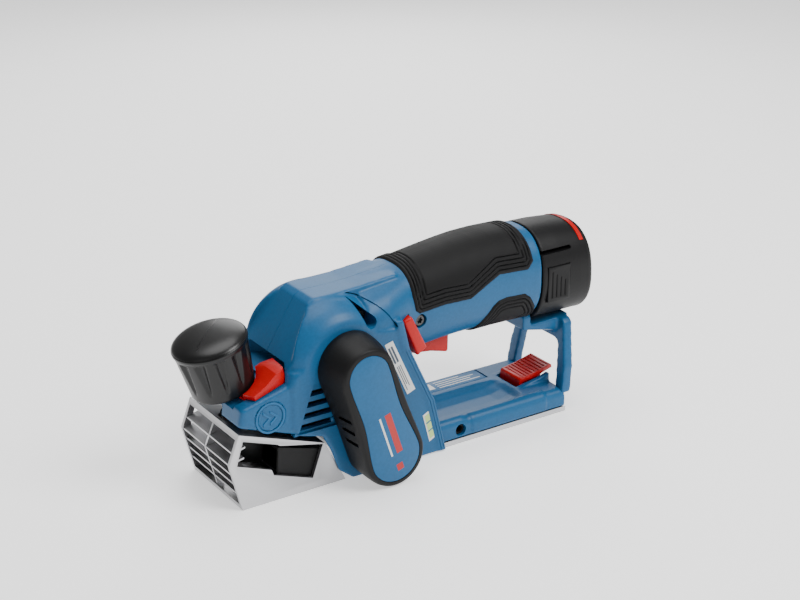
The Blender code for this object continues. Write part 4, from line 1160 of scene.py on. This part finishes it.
def pad(name, outline, x_range, angle_range, counts, grooves, rise, dimple=None):
    """Soft pad over part of the handle, as a closed shell."""
    bm = bmesh.new()
    bmesh.ops.create_grid(bm, x_segments=counts[0], y_segments=counts[1], size=0.5)
    skin = grip_skin()
    low_x, high_x = x_range
    low_a, high_a = (math.radians(angle) for angle in angle_range)
    outside = []
    for vert in bm.verts:
        x = low_x + (high_x - low_x) * (vert.co.x + 0.5)
        angle = low_a + (high_a - low_a) * (vert.co.y + 0.5)
        y, z = handle_point(x, angle, 0)
        centre = Vector((x, 0, section_at(x)[0])) * MM
        outward = Vector((0, y, z - section_at(x)[0])).normalized()
        hit = skin.ray_cast(centre + outward * 0.09, -outward)[0] or Vector((x, y, z)) * MM
        depth = edge_distance(outline, x, hit.z / MM)
        if depth < -0.7:
            outside.append(vert)
        lift = pad_rise(depth, grooves, rise) if depth > 0 else 0.6 * max(-1.0, depth)
        if dimple:
            lift -= 0.5 * soft_step(1.6 - math.hypot(x - dimple[0], z - dimple[1]) / 0.9)
        vert.co = hit + outward * lift * MM
    bmesh.ops.delete(bm, geom=outside, context="VERTS")
    bmesh.ops.recalc_face_normals(bm, faces=bm.faces)
    centre = Vector((0, 0, 92 * MM))
    sample = max(bm.faces, key=lambda face: face.calc_area())
    if sample.normal.dot(sample.calc_center_median() - centre) < 0:
        bmesh.ops.reverse_faces(bm, faces=bm.faces)
    bmesh.ops.solidify(bm, geom=bm.faces, thickness=1.2 * MM)
    return raw_object(name, bm)


class PLANER_OT_grips(Operator):
    """Soft grips with contour grooves"""
    bl_idname = "planer.grips"
    bl_label = "Grips"

    def execute(self, context):
        rise = sizes().grip_rise / MM
        top = pad("grip_top_soft", TOP_GRIP, (-73, 41), (-10, 190), (200, 330), (2.6, 5.0, 7.4, 9.8), rise,
                  dimple=(-8.5, 101.5))
        completed(top, "rubber", "housing", ["grip_top"], smooth=60)
        low = pad("grip_lower_soft", LOW_GRIP, (-3, 45.5), (170, 370), (100, 300), (2.4, 4.8, 7.2), rise)
        completed(low, "rubber", "housing", ["grip_lower"], smooth=60)
        return {"FINISHED"}


# ---------------------------------------------------------------- battery

BATTERY_SECTIONS = ((0.0, 92.4, 26.2, 30.9), (1.2, 92.4, 26.6, 31.2), (14, 92.2, 26.7, 31.1), (30, 91.4, 26.6, 30.6),
                    (37.5, 90.9, 26.3, 30.2))


def battery_section(run):
    for (r0, *low), (r1, *high) in zip(BATTERY_SECTIONS, BATTERY_SECTIONS[1:]):
        if run <= r1:
            break
    share = max(0.0, min(1.0, (run - r0) / (r1 - r0)))
    return [a + (b - a) * share for a, b in zip(low, high)]


def battery_surface(turn, share):
    """Point on the battery's cap: straight sides with a sunken top panel line, then a rounded rear."""
    angle = 2 * math.pi * turn
    seam = BATTERY_SEAM / MM + 0.4
    rear = BATTERY_REAR / MM
    straight_run = rear - seam - 4.6
    if share < 0.12:
        run, scale = 0.0, share / 0.12
    elif share < 0.72:
        run, scale = straight_run * (share - 0.12) / 0.6, 1.0
    elif share < 0.86:
        lean = math.radians(90) * (share - 0.72) / 0.14
        run, scale = straight_run + 4.6 * math.sin(lean), 1 - 0.16 * (1 - math.cos(lean))
    else:
        run, scale = straight_run + 4.6, 0.84 * (1 - (share - 0.86) / 0.14)
    centre_z, half_y, half_z = battery_section(min(run, 37.5))
    across = math.copysign(abs(math.cos(angle)) ** (2 / 2.4), math.cos(angle)) * half_y * scale
    up = math.copysign(abs(math.sin(angle)) ** (2 / 2.4), math.sin(angle)) * half_z * scale
    z = centre_z + up
    x = seam + run - 0.05 * (z - centre_z) * soft_step((run - 20) / 14) * (scale > 0.5)
    x -= 0.05 * (z - centre_z) * (scale <= 0.5)
    return Vector((min(x, rear), across, z)) * MM


def battery():
    part = raw_object("battery_pack", wrapped(240, 110, battery_surface))
    carve(part, prism_y(((40, 64.0), (62, 64.2), (84, 65.0), (84, 50), (40, 50)), -40, 40))
    sleeve = placed(turned([(21.6, -18), (21.6, 46.4)], 120), Matrix.Translation((0, 0, 92 * MM)) @ ALONG_X)
    bore = placed(turned([(19.9, -24), (19.9, 44)], 120), Matrix.Translation((0, 0, 92 * MM)) @ ALONG_X)
    weld(part, sleeve)
    carve(part, bore)
    for side in (-1, 1):
        carve(part, prism_y(((50, 77), (68, 77), (68, 101), (50, 101)), *sorted((side * 22.6, side * 30))))
        slot = arc(69, 110.2, 1.3, -90, 90, 8) + [(46, 111.5), (46, 108.9)]
        carve(part, prism_y(slot, *sorted((side * 14, side * 32))))
    return part


def latch(side):
    """Side latch with four upright ribs."""
    low, high = sorted((side * 24.6, side * 27.0))
    part = raw_object("battery_latch_ribbed_%s" % ("left" if side < 0 else "right"),
                      prism_y(((50.4, 77.4), (67.6, 77.4), (67.6, 100.6), (50.4, 100.6)), low, high))
    for index in range(4):
        x = 53.2 + 3.4 * index
        top = 97.5 - 2.2 * index
        outline = ((x, 80), (x + 0.9, 80), (x + 0.9, top), (x, top))
        carve(part, prism_y(outline, *sorted((side * 26.4, side * 29))))
    return rounded(part, 0.3 * MM, 2, 30)


def red_band():
    """Red stripe round the top of the cap near its rear."""
    bm = bmesh.new()
    bmesh.ops.create_grid(bm, x_segments=6, y_segments=90, size=0.5)
    for vert in bm.verts:
        run = 32.5 + 3.2 * (vert.co.x + 0.5)
        angle = math.radians(40 + 100 * (vert.co.y + 0.5))
        centre_z, half_y, half_z = battery_section(run)
        across = math.copysign(abs(math.cos(angle)) ** (2 / 2.4), math.cos(angle)) * (half_y + 0.12)
        z = centre_z + math.sin(angle) ** (2 / 2.4) * (half_z + 0.12)
        vert.co = Vector((BATTERY_SEAM / MM + 0.4 + run - 0.05 * (z - centre_z), across, z)) * MM
    bmesh.ops.recalc_face_normals(bm, faces=bm.faces)
    bmesh.ops.solidify(bm, geom=bm.faces, thickness=0.3 * MM)
    return raw_object("battery_stripe", bm)


class PLANER_OT_battery(Operator):
    """Battery pack with latches and stripe"""
    bl_idname = "planer.battery"
    bl_label = "Battery"

    def execute(self, context):
        completed(battery(), "black_plastic", "battery", ["battery_case"])
        completed(latch(-1), "black_plastic", "latch_left", ["battery_latch_left"])
        completed(latch(1), "black_plastic", "latch_right", ["battery_latch_right"])
        completed(red_band(), "red_plastic", "battery")
        return {"FINISHED"}


# ---------------------------------------------------------------- trigger, lock-off and park lever

def trigger():
    outline = [(-46.5, 66.5), (-46.5, 61.5)] + [(-38, 57.6), (-32, 56.9), (-26, 56.2), (-20, 54.6), (-14.6, 53.1)]
    outline += arc(-14.0, 54.4, 1.4, -90, 0, 6) + [(-12.4, 65.2), (-20, 66), (-40, 68)]
    part = raw_object("trigger_moulded", prism_y(outline, -8, 8))
    pivot = Vector(joint("trigger_squeeze")["pos_m"]) / MM
    carve(part, on_axle(turned([(1.9, -10), (1.9, 10)], 32), pivot.x, pivot.z))
    carve(part, block((-34, -5.6, 60), (-16, 5.6, 70)))
    return rounded(part, 0.8 * MM, 3, 30)


def lock_off():
    part = raw_object("lock_off_moulded", prism_y(lock_off_outline(), -31.2, -16))
    return rounded(part, 1.3 * MM, 4, 30)


def park_rocker():
    side = ((38, 0.6), (47, 0.6), (57.6, 5), (57.6, 12.2), (60.6, 14), (67.5, 22.4), (65.6, 23.6), (44.6, 19.6),
            (43.8, 17.8), (50, 12), (38, 5))
    part = raw_object("park_lever_ribbed", prism_y(side, -6.4, 6.4))
    plate = [(43.2, 17.2), (56, 19.0), (68.9, 22.4)] + [(68.6, 24.4), (67.6, 25.0), (56, 22.0), (44, 20.2), (42.8, 19.2)]
    weld(part, prism_y(plate, -10.4, 10.4))
    weld(part, prism_y(((42.3, 13.2), (44.3, 13.2), (45.6, 18.6), (42.8, 18.8)), -10.3, 10.3))
    for index in range(9):
        x = 45.6 + 2.5 * index
        z = 20.6 + 0.0072 * (x - 42) ** 2 - 0.15
        groove = ((x, z - 0.4), (x + 0.9, z - 0.3), (x + 1.0, z + 3), (x - 0.1, z + 3))
        carve(part, prism_y(groove, -9.4, 9.4))
    carve(part, on_axle(turned([(1.9, -12), (1.9, 12)], 32), PARK_PIVOT.x / MM, PARK_PIVOT.z / MM))
    return rounded(part, 0.3 * MM, 2, 30)


class PLANER_OT_vent_shade_sheets(Operator):
    """Dark sheets behind the vents: painted shade for the dark inside seen through the slots"""
    bl_idname = "planer.screens"
    bl_label = "Vent shade sheets"

    def execute(self, context):
        for side, name in ((-1, "left"), (1, "right")):
            low, high = sorted((side * 25.4, side * 26.6))
            # Painted shade: a black sheet behind the slots, so that they read dark where there would only be shade.
            part = raw_object("vent_shade_sheet_%s" % name, block((-134, low, 38), (-106, high, 68)))
            completed(part, "black_plastic", "housing")
        return {"FINISHED"}


class PLANER_OT_controls(Operator):
    """Trigger, lock-off button and park lever"""
    bl_idname = "planer.controls"
    bl_label = "Controls"

    def execute(self, context):
        completed(trigger(), "red_plastic", "trigger", ["trigger"])
        completed(lock_off(), "red_plastic", "lock_off", ["lock_off_button"])
        completed(park_rocker(), "red_plastic", "park_foot", ["park_lever"])
        return {"FINISHED"}


# ---------------------------------------------------------------- labels, marks and screws

def leaning(corners, y):
    """Thin printed patch on the side panel."""
    return prism_y(corners, y, y + 0.25)


class PLANER_OT_marks(Operator):
    """Labels, charge indicator, deck emblem and star-head screws"""
    bl_idname = "planer.marks"
    bl_label = "Marks and screws"

    def execute(self, context):
        self.side_label()
        self.charge()
        self.rating()
        self.emblem()
        for number, (x, z, depth) in enumerate(((-44.5, 86.5, -20), (-84.6, 97.4, -16.5)), 1):
            self.screw(number, x, z, depth)
        return {"FINISHED"}

    def side_label(self):
        y = -PANEL - 0.25
        corners = ((-76.2, 81.6), (-60.2, 45.8), (-54.4, 48), (-70.6, 83.2))
        completed(raw_object("side_label", leaning(corners, y)), "label_film", "housing", ["motor_label"])
        start, along = Vector((-72.4, 79.4)), Vector((16.0, -35.8)).normalized()
        across = Vector((-along.y, along.x))
        bars = ((0, 12, 0.6, 1.3), (0, 12, 2.6, 1.3), (14.5, 33, 0.9, 0.5), (14.5, 29, 2.1, 0.5), (14.5, 31, 3.3, 0.5))
        shapes = []
        for low, high, offset, width in bars:
            corner = []
            for run, shift in ((low, 0), (high, 0), (high, width), (low, width)):
                corner.append(tuple(start + along * run + across * (offset + shift - 2.4)))
            shapes.append(leaning(corner, y - 0.06))
        completed(raw_object("side_label_print", *shapes), "print_dark", "housing")

    def charge(self):
        y = -PANEL - 0.2
        outline = ((-48.8, 28.4), (-43.8, 9.6), (-39.6, 11.8), (-44.6, 30.6))
        completed(raw_object("charge_frame", leaning(outline, y)), "label_film", "housing",
                  ["charge_indicator"])
        low, high = Vector((-43.7, 10.4)), Vector((-48.3, 28.1))
        wide = Vector((4.2, 2.2)) * 0.74
        cells, gaps = [], []
        for index in range(3):
            start = low.lerp(high, 0.04 + 0.32 * index) + Vector((0.45, 0.3))
            end = low.lerp(high, 0.04 + 0.32 * index + 0.27) + Vector((0.45, 0.3))
            cells.append(leaning([tuple(p) for p in (start, start + wide, end + wide, end)], y - 0.06))
            if index < 2:
                stop = low.lerp(high, 0.04 + 0.32 * (index + 1)) + Vector((0.45, 0.3))
                gaps.append(leaning([tuple(p) for p in (end, end + wide, stop + wide, stop)], y - 0.05))
        completed(raw_object("charge_cells", *cells), "charge_film", "housing")
        completed(raw_object("charge_gaps", *gaps), "blue_plastic", "housing")

    def rating(self):
        part = raw_object("rating_plate", block((-13, 12.6, 14.2), (33, 26.6, 15.5)))
        completed(rounded(part, 0.2 * MM, 2), "blue_plastic", "housing", ["rating_label"])
        shapes = [block((-11, 16, 15.5), (-5, 24, 15.6))]
        for row, (low, high) in enumerate(((-2, 30), (-2, 24), (-2, 28), (-2, 18))):
            shapes.append(block((low, 15.4 + 2.6 * row, 15.5), (high, 16.1 + 2.6 * row, 15.6)))
        completed(raw_object("rating_print", *shapes), "label_film", "housing")

    def emblem(self):
        """Raised ring on the deck's side with two plain chevrons in it."""
        x, z, y = -152.4, 54.3, -31.0
        shapes = [ring_at(x, z, 9.6, 8.3, y - 0.35, y + 0.3)]
        for shift in (-2.6, 2.0):
            chevron = ((x + shift - 2.2, z + 4.6), (x + shift - 2.2, z + 3.0), (x + shift + 1.4, z), (x + shift - 2.2, z - 3.0),
                       (x + shift - 2.2, z - 4.6), (x + shift + 3.2, z))
            shapes.append(prism_y(chevron, y - 0.45, y + 0.3))
        completed(raw_object("deck_emblem", *shapes), "blue_plastic", "housing")

    def screw(self, number, x, z, depth):
        """Dark screw with a six-lobed recess and a long shank."""
        head = turned([(3.2, depth - 3.0), (4.0, depth - 2.4), (4.0, depth - 0.3), (1.6, depth - 0.3), (1.6, 18)], 64)
        part = raw_object("star_screw_%d" % number, on_axle(head, x, z))
        lobes = [mm(*[(r * math.cos(a), r * math.sin(a), w) for r, a in
                      ((1.9 + 0.35 * math.cos(6 * 2 * math.pi * i / 48), 2 * math.pi * i / 48) for i in range(48))])
                 for w in (depth - 5, depth - 1.4)]
        carve(part, on_axle(loft(lobes), x, z))
        completed(part, "dark_steel", "housing", ["housing_screw_%d" % number])


# ---------------------------------------------------------------- stage

class PLANER_OT_stage(Operator):
    """Floor, soft lights and the camera"""
    bl_idname = "planer.stage"
    bl_label = "Stage"

    def execute(self, context):
        self.floor()
        self.light("key", (0.45, -0.85, 1.15), 0.8, 21.0)
        self.light("fill", (-1.1, -0.5, 0.55), 0.9, 0.7)
        self.light("top", (-0.1, 0.25, 1.4), 1.1, 15.0)
        self.light("rear", (0.5, 0.9, 0.6), 0.8, 5.0)
        self.camera()
        world = bpy.data.worlds.new("studio")
        world.use_nodes = True
        world.node_tree.nodes["Background"].inputs["Color"].default_value = (1, 1, 1, 1)
        world.node_tree.nodes["Background"].inputs["Strength"].default_value = 0.3
        context.scene.world = world
        return {"FINISHED"}

    def floor(self):
        bm = bmesh.new()
        bmesh.ops.create_grid(bm, x_segments=1, y_segments=1, size=4.0)
        part = raw_object("floor", bm)
        tone = colours().floor
        finish = Finish("floor", 0.8, constants={"Emission Color": (1, 1, 1, 1), "Emission Strength": 0.7})
        cloud = finish.noise(3.0, 2.0)
        finish.set("Base Color", finish.blend(cloud, shade(tone, 0.99), shade(tone, 1.01)))
        part.data.materials.append(finish.material)

    def light(self, name, place, size, watts):
        data = bpy.data.lights.new(name, "AREA")
        data.shape = "DISK"
        data.size = size
        data.energy = watts
        lamp = bpy.data.objects.new(name, data)
        lamp.location = place
        aim = Vector((-0.05, 0, 0.06)) - Vector(place)
        lamp.rotation_euler = aim.to_track_quat("-Z", "Y").to_euler()
        bpy.context.collection.objects.link(lamp)

    def camera(self):
        data = bpy.data.cameras.new("camera")
        data.sensor_width = 36.0
        data.lens = 74.25
        part = bpy.data.objects.new("camera", data)
        azimuth, elevation = math.radians(-33.578), math.radians(22.242)
        back = Vector((math.sin(azimuth) * math.cos(elevation), -math.cos(azimuth) * math.cos(elevation),
                       math.sin(elevation)))
        part.location = (-0.5575, -0.7746, 0.4718)
        part.rotation_mode = "QUATERNION"
        part.rotation_quaternion = (-back).to_track_quat("-Z", "Y")
        data.clip_start = 0.01
        bpy.context.collection.objects.link(part)
        bpy.context.scene.camera = part


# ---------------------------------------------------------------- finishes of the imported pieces

SLOT_FINISH = {"winding": "winding", "brass": "brass", "label": "label_film", "aluminium": "machined_aluminium"}


NODE_FINISH = {"guide_insert": "black_plastic"}


class PLANER_OT_finishes(Operator):
    """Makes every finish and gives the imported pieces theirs"""
    bl_idname = "planer.finishes"
    bl_label = "Finishes"

    def execute(self, context):
        for maker in (blue_plastic, black_plastic, knob_plastic, red_plastic, rubber, machined_aluminium, steel,
                      dark_steel, brass, winding):
            FINISHES[maker.__name__] = maker()
        FINISHES["label_film"] = printed_film("label_film", colours().film)
        FINISHES["charge_film"] = printed_film("charge_film", colours().charge)
        FINISHES["print_dark"] = printed_film("print_dark", (0.03, 0.05, 0.08))
        FINISHES["print_red"] = printed_film("print_red", colours().red)
        for row in frame["record"]["subparts"]:
            part = frame["nodes"][row["node"]]
            slot = row["material_slot"]
            part.data.materials.clear()
            part.data.materials.append(FINISHES[NODE_FINISH.get(row["node"], SLOT_FINISH.get(slot, slot))])
        return {"FINISHED"}


OPERATORS = (PLANER_OT_finishes, PLANER_OT_housing, PLANER_OT_tray, PLANER_OT_shoe, PLANER_OT_knob, PLANER_OT_lever,
             PLANER_OT_cover, PLANER_OT_grips, PLANER_OT_battery, PLANER_OT_vent_shade_sheets, PLANER_OT_controls, PLANER_OT_marks,
             PLANER_OT_stage)


class PLANER_PT_panel(Panel):
    """Lists the builders and their settings"""
    bl_label = "Hand Planer"
    bl_idname = "PLANER_PT_panel"
    bl_space_type = "VIEW_3D"
    bl_region_type = "UI"
    bl_category = "Hand Planer"

    def draw(self, context):
        for group in (context.scene.planer_sizes, context.scene.planer_colours):
            for name in group.bl_rna.properties.keys():
                if name not in ("rna_type", "name"):
                    self.layout.prop(group, name)
        for operator in OPERATORS:
            self.layout.operator(operator.bl_idname)


CLASSES = (PlanerSizes, PlanerColours) + OPERATORS + (PLANER_PT_panel,)


def register():
    for item in CLASSES:
        bpy.utils.register_class(item)
    bpy.types.Scene.planer_sizes = PointerProperty(type=PlanerSizes)
    bpy.types.Scene.planer_colours = PointerProperty(type=PlanerColours)


def unregister():
    del bpy.types.Scene.planer_colours
    del bpy.types.Scene.planer_sizes
    for item in reversed(CLASSES):
        bpy.utils.unregister_class(item)


def main():
    register()
    for operator in OPERATORS:
        group, name = operator.bl_idname.split(".")
        getattr(getattr(bpy.ops, group), name)()


if __name__ == "__main__":
    main()
